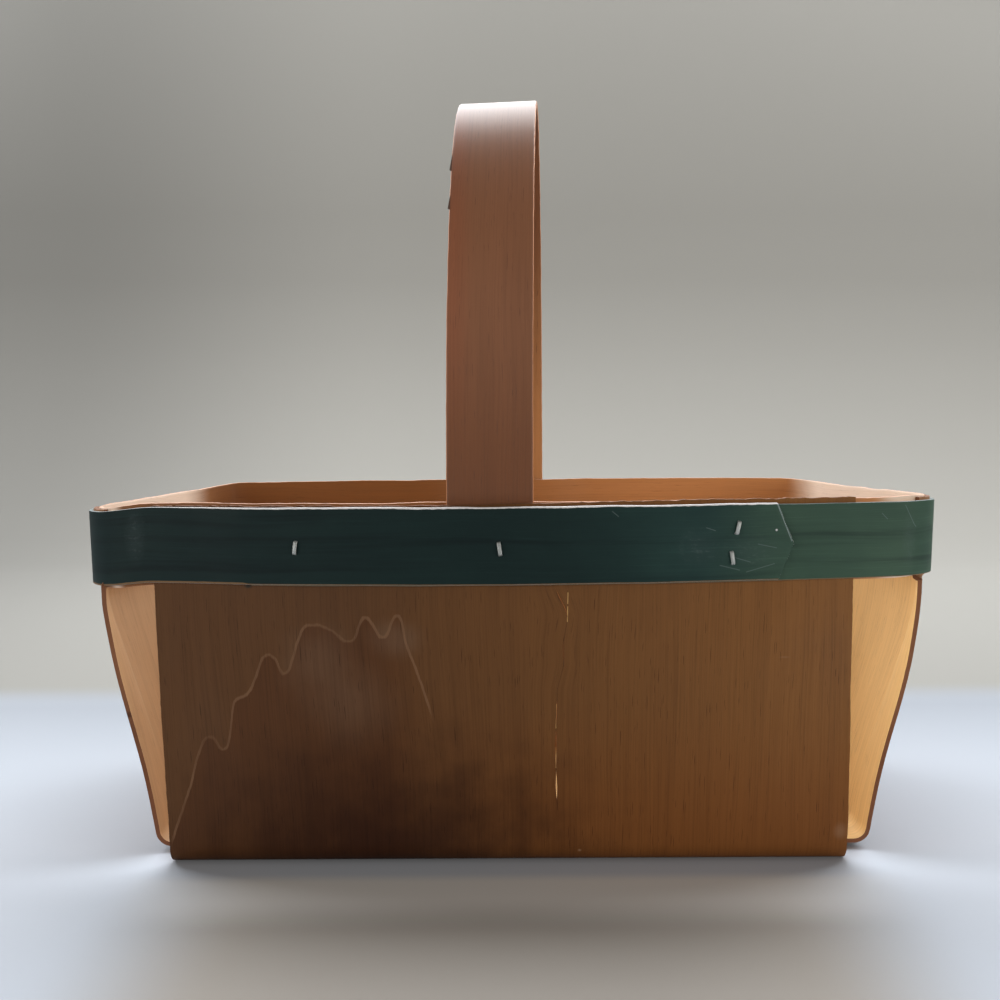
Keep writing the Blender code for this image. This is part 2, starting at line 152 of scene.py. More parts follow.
def colour(name, description, default):
    return FloatVectorProperty(
        name=name, description=description, default=default, subtype="COLOR", min=0, max=1,
    )


def number(name, description, default):
    return FloatProperty(name=name, description=description, default=default)


class RimSettings(PropertyGroup):
    length: size("Length", "Length over the outer band between the middles of the ends", 0.2963)
    depth: size("Depth", "Depth over the outer band between the middles of the long sides", 0.1742)
    top: size("Top", "Height of the outer band's top edge", 0.1243)
    corner: size("Corner radius", "Radius of the rim's corners", 0.023)
    side_bow: size("Side bow", "How far the long sides bow out", 0.013)
    end_bow: size("End bow", "How far the ends bow out", 0.0022)
    end_turn: turn("End turn", "How far the ends turn in towards the back", 6.8)
    end_dip: size("End dip", "How far the rim dips at each corner but the front right one", 0.0021)
    dip_start: number("Dip start", "Share of half the length where the dip starts", 0.84)
    lean: turn("Lean", "How far the rim leans out towards its top", 1.7)
    lift: size("Lift", "How much higher the right end is than the middle", 0.0007)
    clearance: size("Clearance", "Room between pieces that lie on each other", 0.0003)


class WebSettings(PropertyGroup):
    wall: size("Wall", "Thickness of the webs' veneer", 0.0015)
    rise: size("Rise", "How far the panels reach above the outer band", 0.0005)
    torn: size("Torn edge", "How rough the panels' top edges are", 0.0004)
    side_inset: size("Side inset", "How much narrower the side web is than the rim is long", 0.0523)
    side_taper: size("Side taper", "How much the side web narrows to the floor", 0.0106)
    side_foot_inset: size("Side foot inset", "How much shorter its foot is than the rim is deep", 0.0158)
    side_shift: size("Side shift", "How far the side web lies off centre at the rim", -0.003)
    side_floor_shift: size("Side floor shift", "How far it lies off centre at the floor", -0.0015)
    side_fold: size("Side fold", "Radius of the side web's folds", 0.008)
    side_lean: turn("Side lean", "How far the long panels lean out at the floor", 6.5)
    end_inset: size("End inset", "How much narrower the end web is than the rim is deep", 0.0397)
    end_taper: size("End taper", "How much the end web narrows to the floor", 0.007)
    end_foot_inset: size("End foot inset", "How much shorter its foot is than the rim is long", 0.0414)
    end_fold: size("End fold", "Radius of the end web's folds", 0.006)
    end_lean: turn("End lean", "How far the end panels lean out at the floor", 8.8)
    corner_reach: size("Corner reach", "Stretch beside a corner that straightens below the bands", 0.022)
    corner_slack: size("Corner slack", "How far its edge springs out there", 0.0026)


class BandSettings(PropertyGroup):
    outer_wall: size("Outer wall", "Thickness of the outer band", 0.0014)
    outer_height: size("Outer height", "Height of the outer band", 0.0261)
    outer_start: size("Outer start", "Place of its hidden end, left of the front's middle", 0.089)
    outer_end: size("Outer end", "Place of its cut end, right of the front's middle", 0.0955)
    outer_climb: size("Outer climb", "How much it climbs on its way round", 0.0007)
    outer_ramp: size("Outer ramp", "Stretch in which it climbs onto its start", 0.022)
    end_cut: size("End cut", "How far the cut end's tip stands out", 0.006)
    end_tip: number("End tip", "Share of the height where the tip is", 0.47)
    inner_wall: size("Inner wall", "Thickness of the inner band", 0.0015)
    inner_height: size("Inner height", "Height of the inner band", 0.0285)
    inner_rise: size("Inner rise", "How far it reaches above the outer band", 0.001)
    inner_start: size("Inner start", "Place of its first end, right of the front's middle", 0.060)
    inner_end: size("Inner end", "Place of its last end, right of the front's middle", 0.090)
    inner_ramp: size("Inner ramp", "Stretch in which it closes in at a panel's edge", 0.014)
    arris: size("Arris", "Width of the bands' worn arrises", 0.0003)


class HandleSettings(PropertyGroup):
    width: size("Width", "Width of the handle's strip", 0.0293)
    wall: size("Wall", "Thickness of the handle's strip", 0.0028)
    top: size("Top", "Height of the handle's top", 0.2761)
    tail: size("Tail", "How far the legs reach below the inner band", 0.004)
    front_shift: size("Front shift", "Place of the front leg from the middle", -0.0074)
    back_shift: size("Back shift", "Place of the back leg from the middle", -0.0016)
    fullness: number("Fullness", "How square the arch is, with 2 an ellipse", 2.17)
    ramp: size("Ramp", "Stretch in which the inner band bulges round a leg", 0.024)
    arris: size("Arris", "Width of the handle's rounded arrises", 0.0007)


class FinishSettings(PropertyGroup):
    # web_left and web_right are partly the wood's tone and partly painted light, as the side web is lighter
    # at its right
    web_left: colour("Web left", "Outer face of the side web at its left", (0.093, 0.0405, 0.0148))
    web_right: colour("Web right", "Outer face of the side web at its right", (0.193, 0.082, 0.0230))
    web_low: colour("Web low", "Redder outer face near the floor", (0.165, 0.058, 0.0135))
    web_stain: colour("Web stain", "Dark stain low on the front", (0.028, 0.0088, 0.0034))
    web_weather: colour("Web weathering", "Greyish blotches", (0.135, 0.078, 0.045))
    growth_ring: colour("Growth ring", "Pale line of the growth ring", (0.20, 0.108, 0.058))
    web_inside: colour("Web inside", "Inner face of the side web", (0.40, 0.19, 0.075))
    end_inside: colour("End inside", "Inner face of the end web at its right panel", (0.67, 0.41, 0.153))
    # A darker copy of the end's inner face, for painted shade on the left end panel
    end_left_shaded: colour("End inside left", "Inner face of the end web at its left panel", (0.42, 0.240, 0.112))
    end_outside: colour("End outside", "Outer face of the end web", (0.30, 0.145, 0.062))
    torn_edge: colour("Torn edge", "Raw cut edges of the webs", (0.20, 0.080, 0.036))
    dye: colour("Dye", "Dye of the outer band's last round", (0.0056, 0.0158, 0.0155))
    dye_blue: colour("Blue dye", "Where the last round is bluer, near its cut end", (0.0120, 0.0335, 0.0310))
    dye_green: colour("Green dye", "Dye of the outer band's first round", (0.033, 0.066, 0.046))
    # The scuff colour also makes a painted highlight on the outer band's right corner
    scuff_and_highlight: colour("Scuff", "Pale scuffs on the dye", (0.16, 0.20, 0.20))
    bare: colour("Bare wood", "Undyed wood at the outer band's top edge", (0.66, 0.64, 0.64))
    bare_low: colour("Lower bare wood", "Undyed wood at its lower edge", (0.21, 0.120, 0.058))
    # The inner band's colours hold painted light and shade: pale at the ends, dark along the back's left,
    # lighter at its right
    band_ends_lit: colour("Band ends", "Inner band at the basket's ends", (0.76, 0.60, 0.48))
    band_back_shaded: colour("Band back", "Inner band at the back's left", (0.21, 0.079, 0.0185))
    band_lit: colour("Band right", "Inner band at the back's right", (0.50, 0.23, 0.085))
    band_edge: colour("Band edge", "Top edge of the inner band", (0.60, 0.33, 0.22))
    handle: colour("Handle", "Outer face of the handle", (0.219, 0.087, 0.038))
    # Darker, for painted shade near the rim
    handle_low_shaded: colour("Handle low", "Outer face of the handle near the rim", (0.141, 0.0435, 0.0090))
    handle_inside: colour("Handle inside", "Paler inner face of the handle", (0.40, 0.19, 0.075))
    handle_edge: colour("Handle edge", "Edges of the handle", (0.46, 0.18, 0.066))
    splinter: colour("Splinter", "Dark torn fibres", (0.085, 0.045, 0.030))
    steel: colour("Steel", "Staples", (0.42, 0.44, 0.43))


class StageSettings(PropertyGroup):
    lens: FloatProperty(name="Lens", description="Camera's focal length", default=45.2, unit="CAMERA")
    place: FloatVectorProperty(
        name="Place", description="Where the camera is", default=(0.0029, -0.5018, 0.1534),
        subtype="TRANSLATION",
    )
    pitch: turn("Pitch", "How far the camera looks down", 3.715)
    yaw: turn("Yaw", "How far it turns right", 0.333)
    roll: turn("Roll", "How far it rolls clockwise", 0.185)
    shift: number("Shift", "Sideways shift of the lens as a share of the width", -0.0278)
    floor: colour("Floor", "Floor", (0.425, 0.45, 0.50))
    shade_near: colour("Shade near", "Floor in the basket's shade, at its foot", (0.60, 0.576, 0.55))
    shade_far: colour("Shade far", "Floor in the basket's shade, further out", (0.31, 0.28, 0.25))
    backdrop: colour("Backdrop", "Backdrop", (0.207, 0.197, 0.178))


PICTURE_SIZE = 1000
SENSOR_WIDTH = 36
# The Y of the upright planes that hold the marks on the front panel, on the outer band and on the handle
WEB_FRONT, BAND_FRONT, HANDLE_FRONT = -0.081, -0.084, -0.050
# Marks fade out between these Y, so that only the front has them
FRONT_HALF = (-0.030, -0.020)

# From here on, places in the photograph, in its pixels
GROWTH_RING = (
    (168, 850), (174, 832), (189, 786), (197, 754), (207, 740), (222, 751), (227, 742), (232, 704),
    (245, 696), (254, 677), (264, 658), (272, 660), (282, 675), (291, 660), (297, 641), (306, 627),
    (329, 631), (347, 642), (352, 641), (365, 618), (372, 624), (383, 637), (398, 616), (405, 640),
    (420, 680), (435, 725),
)
CRACK_PATH = (
    (567.5, 590), (567.5, 618), (563.5, 640), (563.5, 665), (557.5, 688), (556, 735), (556, 763), (557, 806),
)
# Where the crack gapes: its upper and lower end, and half its widest opening in metres
CRACK_SLITS = (
    (592, 620, 0.00015), (638, 668, 0.00010), (702, 730, 0.00017), (734, 769, 0.00036), (776, 804, 0.00026),
)
# Pale lines painted at the crack's lips, for light that shows through the crack
CRACK_LIGHT_LINES = (
    ((567.8, 592), (567.6, 603)), ((567.6, 606), (567.2, 621)),
    ((556.6, 704), (556, 728)), ((556, 734), (556, 768)),
)
# Spots: the centre and half the width and height of each
WEB_BLOTCHES = ((318, 664, 56, 50), (350, 706, 62, 56), (392, 640, 40, 26))
WEB_STAIN = (385, 856, 285, 166)
# Small pale patches on the panel, and how far each covers it
WEB_PATCHES = (((842, 833, 9, 11), 0.55), ((580, 853.5, 2.5, 2), 0.9), ((788, 660, 8, 1.5), 0.35))
WEB_DRIP = (245, 588, 6, 3.5)
# A painted glint on the outer band
BAND_GLINT = (779, 531, 1.6, 1.6)
LAP_LINE = ((780, 505), (795, 542))
BAND_SCRATCHES = (
    ((721, 566), (741, 571)), ((748, 573), (777, 565)), ((735, 558), (752, 563)), ((612, 511), (618, 516)),
    ((919, 508), (929, 527)), ((929, 527), (932, 531)), ((707, 528), (716, 531)), ((893, 516), (899, 522)),
    ((760, 545), (779, 549)),
)
# Pale spots on the outer band, and how much of each is covered at least: scuffs, but the last, at the rim's
# right corner, is a painted highlight
BAND_SCUFFS_AND_HIGHLIGHT = (
    ((752, 552, 40, 24), 0.04), ((700, 548, 30, 26), 0.04),
    ((122, 540, 15, 36), 0.05), ((924, 545, 9, 40), 0.05),
)
HANDLE_SPLINTERS = (((449.5, 148), (449.0, 174)), ((448.6, 196), (448.3, 216)))


def spread(start, end, pieces):
    return [start + (end - start) * i / pieces for i in range(pieces + 1)]


def ease(share):
    """0 before 0, 1 after 1, and a smooth step between."""
    share = min(max(share, 0), 1)
    return share * share * (3 - 2 * share)


def rough(place, seed, grains=1):
    """A smooth random value between -1 and 1, with so many waves to a metre."""
    return noise.noise(Vector((place * grains, seed, 0.5)))


class View:
    """The camera, and where its pixels meet upright planes."""

    def __init__(self, stage):
        self.lens, self.shift = stage.lens, stage.shift
        aim = Matrix.Rotation(-stage.yaw, 4, "Z") @ Matrix.Rotation(math.pi / 2 - stage.pitch, 4, "X")
        self.matrix = Matrix.Translation(stage.place) @ aim @ Matrix.Rotation(-stage.roll, 4, "Z")

    def meet(self, pixel, y):
        """The point of the plane at y that a pixel of the photograph shows."""
        across = (pixel[0] / PICTURE_SIZE - 0.5 + self.shift) * SENSOR_WIDTH / self.lens
        down = (pixel[1] / PICTURE_SIZE - 0.5) * SENSOR_WIDTH / self.lens
        ray = self.matrix.to_3x3() @ Vector((across, -down, -1))
        eye = self.matrix.translation
        return eye + ray * ((y - eye.y) / ray.y)


class Form:
    """The basket's lines, worked out from its sizes.

    A place on the rim is the length walked from the middle of the front towards +X and on round the basket.
    """

    def __init__(self, scene):
        self.rim, self.webs = scene.basket_rim, scene.basket_webs
        self.bands, self.handle = scene.basket_bands, scene.basket_handle
        rim, webs = self.rim, self.webs
        self.gap = rim.clearance
        self.layer = self.bands.outer_wall + self.gap
        self.half_length = rim.length / 2 - self.layer
        self.half_depth = (rim.depth - 3 * self.layer) / 2
        self.band_bottom = rim.top - self.bands.outer_height
        self.inner_bottom = rim.top + self.bands.inner_rise - self.bands.inner_height
        self.seat_bottom = self.inner_bottom - self.handle.tail - self.gap
        self.side_width, self.end_width = rim.length - webs.side_inset, rim.depth - webs.end_inset
        self.side_foot, self.end_foot = rim.depth - webs.side_foot_inset, rim.length - webs.end_foot_inset

        side = self.bow_radius(self.half_length - rim.corner, rim.side_bow)
        end = self.bow_radius(self.half_depth - rim.corner, rim.end_bow)
        # The middle of each wall, the direction that it faces there, and its radius
        walls = [
            (Vector((0, -self.half_depth)), -math.pi / 2, side),
            (Vector((self.half_length, 0)), rim.end_turn, end),
            (Vector((0, self.half_depth)), math.pi / 2, side),
            (Vector((-self.half_length, 0)), math.pi - rim.end_turn, end),
        ]
        centres = [middle - self.direction(facing) * radius for middle, facing, radius in walls]
        self.arcs, self.middles = [], []
        walked, angle = 0, -math.pi / 2
        for wall in (FRONT, RIGHT, BACK, LEFT):
            after = (wall + 1) % len(walls)
            _, facing, radius = walls[wall]
            inner, inner_after = radius - rim.corner, walls[after][2] - rim.corner
            meeting = self.meeting(centres[wall], inner, centres[after], inner_after)
            self.middles.append(walked + radius * (facing - angle))
            for centre, arc_radius, last in (
                (centres[wall], radius, meeting - centres[wall]),
                (meeting, rim.corner, meeting - centres[after]),
            ):
                turned = (math.atan2(last.y, last.x) - angle) % math.tau
                self.arcs.append((centre, arc_radius, turned))
                walked += arc_radius * turned
                angle += turned
        turned = 3 * math.pi / 2 - angle
        self.arcs.append((centres[FRONT], side, turned))
        self.round = walked + side * turned

    @staticmethod
    def direction(angle):
        return Vector((math.cos(angle), math.sin(angle)))

    @staticmethod
    def bow_radius(reach, bow):
        return (reach * reach + bow * bow) / (2 * bow)

    @staticmethod
    def meeting(centre, radius, other, other_radius):
        """The point at these distances from the centres of two walls, in the corner between them."""
        apart = other - centre
        share = (radius**2 - other_radius**2 + apart.length_squared) / (2 * apart.length_squared)
        foot = centre + apart * share
        off = math.sqrt(radius**2 - (foot - centre).length_squared)
        return foot + off * Vector((-apart.y, apart.x)).normalized()

    def point(self, place, height, out):
        """A point so far out from the panels' outer face."""
        left = place % self.round
        angle = -math.pi / 2
        for centre, radius, angle_of_arc in self.arcs:
            if left <= radius * angle_of_arc:
                break
            left -= radius * angle_of_arc
            angle += angle_of_arc
        reach = radius + out - (self.rim.top - height) * math.tan(self.rim.lean)
        x, y = centre + self.direction(angle + left / radius) * reach
        start = self.rim.dip_start
        dip = self.rim.end_dip * ease((abs(x) / self.half_length - start) / (1 - start))
        if x > 0:
            dip *= ease((y / self.half_depth + 1) / 2)
        return Vector((x, y + self.layer / 2, height + self.rim.lift * x / self.half_length - dip))

    def panel_edges(self, side):
        middle, width = self.middles[side], self.end_width
        if side in (FRONT, BACK):
            middle += self.webs.side_shift if side == FRONT else -self.webs.side_shift
            width = self.side_width
        return middle - width / 2, middle + width / 2

    def leg_edges(self, side):
        shift = self.handle.front_shift if side == FRONT else -self.handle.back_shift
        half = self.handle.width / 2 + self.gap
        return self.middles[side] + shift - half, self.middles[side] + shift + half

    def leg_set_in(self):
        """How much further in than the panel's inner face a leg lies at its middle, as the panel is bowed."""
        far = max(abs(self.handle.front_shift), abs(self.handle.back_shift)) + self.handle.width / 2
        return self.gap + self.point(far, self.rim.top, 0).y - self.point(0, self.rim.top, 0).y

    def outer_out(self, place):
        """How far the outer band's outer face stands out from the panels, on its way round."""
        ramp = self.bands.outer_ramp
        ramp_end = self.round - self.bands.outer_start - self.gap
        return self.layer * (1 + ease((place - ramp_end + ramp) / ramp))

    def inner_ends(self):
        return self.bands.inner_start, self.round + self.bands.inner_end

    def inner_in(self, place):
        """How far the inner band's outer face lies in from the panels' outer face, on its way round."""

        def grip(edges, ramp):
            low, high = edges
            away = abs((place - (low + high) / 2 + self.round / 2) % self.round - self.round / 2)
            return 1 - ease((away - (high - low) / 2) / ramp)

        ramp = self.bands.inner_ramp
        panels = max(grip(self.panel_edges(side), ramp) for side in (FRONT, RIGHT, BACK, LEFT))
        legs = max(grip(self.leg_edges(side), self.handle.ramp) for side in (FRONT, BACK))
        ramp_end = self.inner_ends()[0] + self.round - self.gap
        lift = ease((place - ramp_end + ramp) / ramp)
        inward = self.gap + self.webs.wall * panels + (self.leg_set_in() + self.handle.wall) * legs
        return inward + (self.bands.inner_wall + self.gap) * lift


def bent_sheet(name, columns, rows, bend, grain):
    """A flat sheet bent to shape, and its vertices by the numbers of their column and row.

    bend(column, row) is a point of its outer face, and grain(column, row) the place along and across the
    strip that its grain follows there.
    """
    sheet = bmesh.new()
    grain_map = sheet.loops.layers.uv.new(GRAIN_MAP)
    across, along = len(columns) - 1, len(rows) - 1
    bmesh.ops.create_grid(sheet, x_segments=across, y_segments=along, size=1)
    places, grid = {}, {}
    for vertex in sheet.verts:
        key = round((vertex.co.x + 1) / 2 * across), round((vertex.co.y + 1) / 2 * along)
        column, row = columns[key[0]], rows[key[1]]
        vertex.co = bend(column, row)
        places[vertex] = grain(column, row)
        grid[key] = vertex
    for face in sheet.faces:
        face.smooth = True
        for loop in face.loops:
            loop[grain_map].uv = places[loop.vert]
    return sheet, grid


def travelled(rows, bend, column):
    """How far along a strip each of its rows lies."""
    found, reached = {}, 0
    before = None
    for row in rows:
        here = bend(column, row)
        reached += (here - before).length if before else 0
        found[row] = reached
        before = here
    return found


def new_piece(name, sheet, materials):
    mesh = bpy.data.meshes.new(name)
    sheet.to_mesh(mesh)
    sheet.free()
    piece = bpy.data.objects.new(name, mesh)
    bpy.context.scene.collection.objects.link(piece)
    for material in materials:
        mesh.materials.append(material)
    return piece


def give_wall(piece, wall, arris=0):
    """Thickens a sheet inwards. Its inner face takes the second material and its edges the third."""
    solidify = piece.modifiers.new("Wall", "SOLIDIFY")
    solidify.thickness = wall
    solidify.offset = -1
    solidify.use_even_offset = True
    solidify.material_offset = 1
    solidify.material_offset_rim = 2
    if arris:
        bevel = piece.modifiers.new("Arrises", "BEVEL")
        bevel.width = arris
        bevel.segments = 2
        bevel.limit_method = "ANGLE"
        bevel.angle_limit = math.radians(60)


def settle(piece):
    """Keeps the shape that the modifiers make, and shades it smooth up to its arrises."""
    bpy.context.view_layer.update()
    graph = bpy.context.evaluated_depsgraph_get()
    mesh = bpy.data.meshes.new_from_object(piece.evaluated_get(graph))
    mesh.name = piece.name
    piece.modifiers.clear()
    piece.data = mesh
    mesh.shade_smooth()
    mesh.set_sharp_from_angle(angle=SHARP_ANGLE)


def finish_piece(node, name, sheet, finishes, wall, arris=0):
    """Makes a bent sheet into a piece with a wall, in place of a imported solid."""
    piece = new_piece(name, sheet, finishes)
    give_wall(piece, wall, arris)
    settle(piece)
    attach(piece, "root")
    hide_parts(node)


class Nodes:
    """Writes a node tree: each call adds what it names, with its inputs, and returns the result."""

    def __init__(self, tree):
        self.tree = tree

    def add(self, kind, *inputs, **settings):
        node = self.tree.nodes.new(kind)
        for name, value in settings.items():
            setattr(node, name, value)
        for socket, value in zip(node.inputs, inputs):
            self.set(socket, value)
        return node

    def set(self, socket, value):
        if isinstance(value, bpy.types.NodeSocket):
            self.tree.links.new(value, socket)
        elif value is not None:
            socket.default_value = value

    def math(self, operation, *inputs):
        return self.add("ShaderNodeMath", *inputs, operation=operation).outputs[0]

    def times(self, product, *others):
        for other in others:
            product = self.math("MULTIPLY", product, other)
        return product

    def vector(self, operation, *inputs):
        outputs = self.add("ShaderNodeVectorMath", *inputs, operation=operation).outputs
        return outputs["Value" if operation in ("DOT_PRODUCT", "LENGTH") else "Vector"]

    def split(self, vector):
        return self.add("ShaderNodeSeparateXYZ", vector).outputs

    def noise(self, vector, scale, detail, roughness=0.5, distortion=0.0):
        """Random values between 0 and 1, with so many waves to a metre along each axis."""
        scaled = self.add("ShaderNodeMapping", vector, None, None, scale).outputs[0]
        node = self.add("ShaderNodeTexNoise", scaled)
        settings = {"Scale": 1.0, "Detail": detail, "Roughness": roughness, "Distortion": distortion}
        for name, value in settings.items():
            self.set(node.inputs[name], value)
        return node.outputs["Fac"]

    def ramp(self, value, low, high, bottom=0.0, top=1.0):
        """A smooth step from bottom to top as the value goes from low to high."""
        node = self.add("ShaderNodeMapRange", value, low, high, bottom, top, interpolation_type="SMOOTHSTEP")
        return node.outputs[0]

    def ramp_line(self, value, low, high):
        """A straight ramp from 0 to 1 as the value goes from low to high."""
        return self.add("ShaderNodeMapRange", value, low, high, 0.0, 1.0).outputs[0]

    def mix(self, share, first, second, blend="MIX"):
        node = self.add("ShaderNodeMix", data_type="RGBA", blend_type=blend)
        self.set(node.inputs["Factor"], share)
        self.set(node.inputs[6], first)
        self.set(node.inputs[7], second)
        return node.outputs[2]

    def group(self, name, *inputs):
        return self.add("ShaderNodeGroup", *inputs, node_tree=bpy.data.node_groups[name]).outputs


def new_group(name, inputs, outputs):
    """A shader node group with its sockets, and the ends that its nodes join."""
    group = bpy.data.node_groups.new(name, "ShaderNodeTree")
    for side, sockets in (("INPUT", inputs), ("OUTPUT", outputs)):
        for socket, kind in sockets.items():
            group.interface.new_socket(socket, in_out=side, socket_type=kind)
    nodes = Nodes(group)
    return nodes, nodes.add("NodeGroupInput").outputs, nodes.add("NodeGroupOutput").inputs


def make_grain_group():
    """Veneer's figure, from a place in metres along and across the strip."""
    outputs = dict.fromkeys(("Fine", "Broad", "Pores", "Stain", "Height"), NUMBER)
    nodes, given, out = new_group("Veneer grain", {"Place": VECTOR, "Seed": NUMBER}, outputs)
    apart = nodes.add("ShaderNodeCombineXYZ", 0.0, 0.0, given["Seed"]).outputs[0]
    place = nodes.vector("ADD", given["Place"], apart)
    warp = nodes.times(nodes.noise(place, (9, 24, 1), 2), 0.006)
    place = nodes.vector("ADD", place, nodes.add("ShaderNodeCombineXYZ", 0.0, warp, 0.0).outputs[0])
    fine = nodes.noise(place, (22, 1500, 1), 3, 0.6)
    broad = nodes.noise(place, (6, 190, 1), 3, 0.55)
    pores = nodes.ramp(nodes.noise(place, (110, 2600, 1), 1), 0.66, 0.74)
    stain = nodes.noise(place, (16, 26, 1), 4, 0.55, 0.3)
    height = nodes.math("SUBTRACT", nodes.math("MULTIPLY_ADD", broad, 0.4, fine), nodes.times(pores, 0.6))
    for name, value in zip(outputs, (fine, broad, pores, stain, height)):
        nodes.set(out[name], value)


def front_only(nodes, place):
    """A place seen flat from the front, and a mask that keeps the front half."""
    flat = nodes.vector("MULTIPLY", place, (1, 0, 1))
    return flat, nodes.ramp(nodes.split(place)[1], *FRONT_HALF, 1.0, 0.0)


def make_mark_group():
    """How near a place on the front is to a straight mark: 1 on it, 0 beyond its half width."""
    inputs = {"Place": VECTOR, "From": VECTOR, "To": VECTOR, "Half width": NUMBER}
    nodes, given, out = new_group("Straight mark", inputs, {"Mark": NUMBER})
    flat, front = front_only(nodes, given["Place"])
    run = nodes.vector("SUBTRACT", given["To"], given["From"])
    reach = nodes.vector("SUBTRACT", flat, given["From"])
    walked, whole = (nodes.vector("DOT_PRODUCT", way, run) for way in (reach, run))
    share = nodes.add("ShaderNodeClamp", nodes.math("DIVIDE", walked, whole), 0.0, 1.0).outputs[0]
    foot = nodes.add("ShaderNodeVectorMath", run, operation="SCALE")
    nodes.set(foot.inputs["Scale"], share)
    away = nodes.vector("LENGTH", nodes.vector("SUBTRACT", reach, foot.outputs[0]))
    mark = nodes.ramp(away, nodes.times(given["Half width"], 0.3), given["Half width"], 1.0, 0.0)
    nodes.set(out["Mark"], nodes.times(mark, front))


def make_spot_group():
    """A soft spot on the front: 1 at its centre, 0 beyond its reach."""
    inputs = {"Place": VECTOR, "Centre": VECTOR, "Share of reach": VECTOR}
    nodes, given, out = new_group("Soft spot", inputs, {"Spot": NUMBER})
    flat, front = front_only(nodes, given["Place"])
    away = nodes.vector("MULTIPLY", nodes.vector("SUBTRACT", flat, given["Centre"]), given["Share of reach"])
    wander = nodes.noise(given["Place"], (90, 90, 90), 3)
    away = nodes.math("MULTIPLY_ADD", wander, 0.5, nodes.vector("LENGTH", away))
    nodes.set(out["Spot"], nodes.times(nodes.ramp(away, 0.3, 1.25, 1.0, 0.0), front))


def shade(tint, factor=1):
    return (*(min(channel * factor, 1) for channel in tint), 1)


class Finish(Nodes):
    """A material, painted in layers over its first colour.

    One that is given the view can have marks where the photograph shows them, on the upright plane at that Y.
    """

    def __init__(self, name, specular=0.5, metallic=0.0, view=None, plane=None):
        self.material = bpy.data.materials.new(name)
        self.material.use_nodes = True
        super().__init__(self.material.node_tree)
        self.shader = self.tree.nodes["Principled BSDF"]
        self.shader.inputs["Metallic"].default_value = metallic
        self.shader.inputs["Specular IOR Level"].default_value = specular
        self.view, self.plane = view, plane
        self.base = None

    @cached_property
    def strip(self):
        """The place along and across the strip, in metres."""
        return self.add("ShaderNodeUVMap", uv_map=GRAIN_MAP).outputs[0]

    @cached_property
    def where(self):
        """The place in the scene."""
        return self.add("ShaderNodeTexCoord").outputs["Object"]

    @cached_property
    def axes(self):
        return self.split(self.where)

    def spot(self, pixels):
        """A soft spot, from its centre and half its size in the photograph's pixels."""
        x, z, wide, tall = pixels
        centre = self.view.meet((x, z), self.plane)
        corner = self.view.meet((x + wide, z + tall), self.plane)
        share = (1 / (corner.x - centre.x), 0, 1 / (centre.z - corner.z))
        return self.group("Soft spot", self.where, (centre.x, 0, centre.z), share)["Spot"]

    def mark(self, ends, half_width):
        """A straight mark, from its two ends in the photograph's pixels."""
        start, stop = (self.view.meet(pixel, self.plane) for pixel in ends)
        ends = (start.x, 0, start.z), (stop.x, 0, stop.z)
        return self.group("Straight mark", self.where, *ends, half_width)["Mark"]

    def lay(self, tint, mask, most=1):
        """Covers what is there with a colour, by that share of the mask."""
        share = mask if most == 1 else self.times(mask, most)
        self.base = self.mix(share, self.base, tint)

    def stain(self, tint, mask, most=1):
        """Multiplies what is there by a colour, by that share of the mask."""
        self.lay(self.mix(1.0, self.base, tint, "MULTIPLY"), mask, most)

    def figure(self, seed, contrast=1.0):
        """Lays the grain's streaks, stains and pores over the colour, and returns the grain's values."""
        grain = self.group("Veneer grain", self.strip, seed)
        for value, low, high, most, tint in FIGURE:
            self.stain(tint, self.ramp(grain[value], low, high, 0.0, most * contrast))
        return grain

    def close(self, roughness, height=None, strength=0.25):
        """Gives the shader its colour and roughness, and a bump of that strength where a height is given."""
        self.set(self.shader.inputs["Base Color"], self.base)
        self.set(self.shader.inputs["Roughness"], roughness)
        if height is not None:
            bump = self.add("ShaderNodeBump")
            for name, value in {"Strength": strength, "Distance": BUMP_DEPTH, "Height": height}.items():
                self.set(bump.inputs[name], value)
            self.set(self.shader.inputs["Normal"], bump.outputs[0])


def make_veneer(name, tint, seed, roughness=0.6, contrast=1.0, left=None):
    """Plain veneer, with a second colour for painted shade at the basket's left end, where one is given."""
    wood = Finish(name, 0.35)
    wood.base = shade(tint)
    if left:
        # Painted shade on the left end panel
        wood.lay(shade(left), wood.ramp(wood.axes[0], 0.1, -0.1))
    grain = wood.figure(seed, contrast)
    wood.close(wood.ramp(grain["Stain"], 0.3, 0.8, roughness + 0.08, roughness - 0.1), grain["Height"])


def ring_height(nodes, across, points, offset):
    """The height of the growth ring's line at a place across the panel."""
    low, high = points[0].x, points[-1].x
    top = max(point.z for point in points)
    curve = nodes.add("ShaderNodeFloatCurve")
    line = curve.mapping.curves[0]
    while len(line.points) < len(points):
        line.points.new(0.5, 0.5)
    for knot, point in zip(line.points, sorted(points, key=lambda point: point.x)):
        knot.location = ((point.x - low) / (high - low), point.z / top)
        knot.handle_type = "AUTO"
    curve.mapping.update()
    nodes.set(curve.inputs["Value"], nodes.ramp_line(nodes.math("ADD", across, offset), low, high))
    return nodes.times(curve.outputs[0], top)


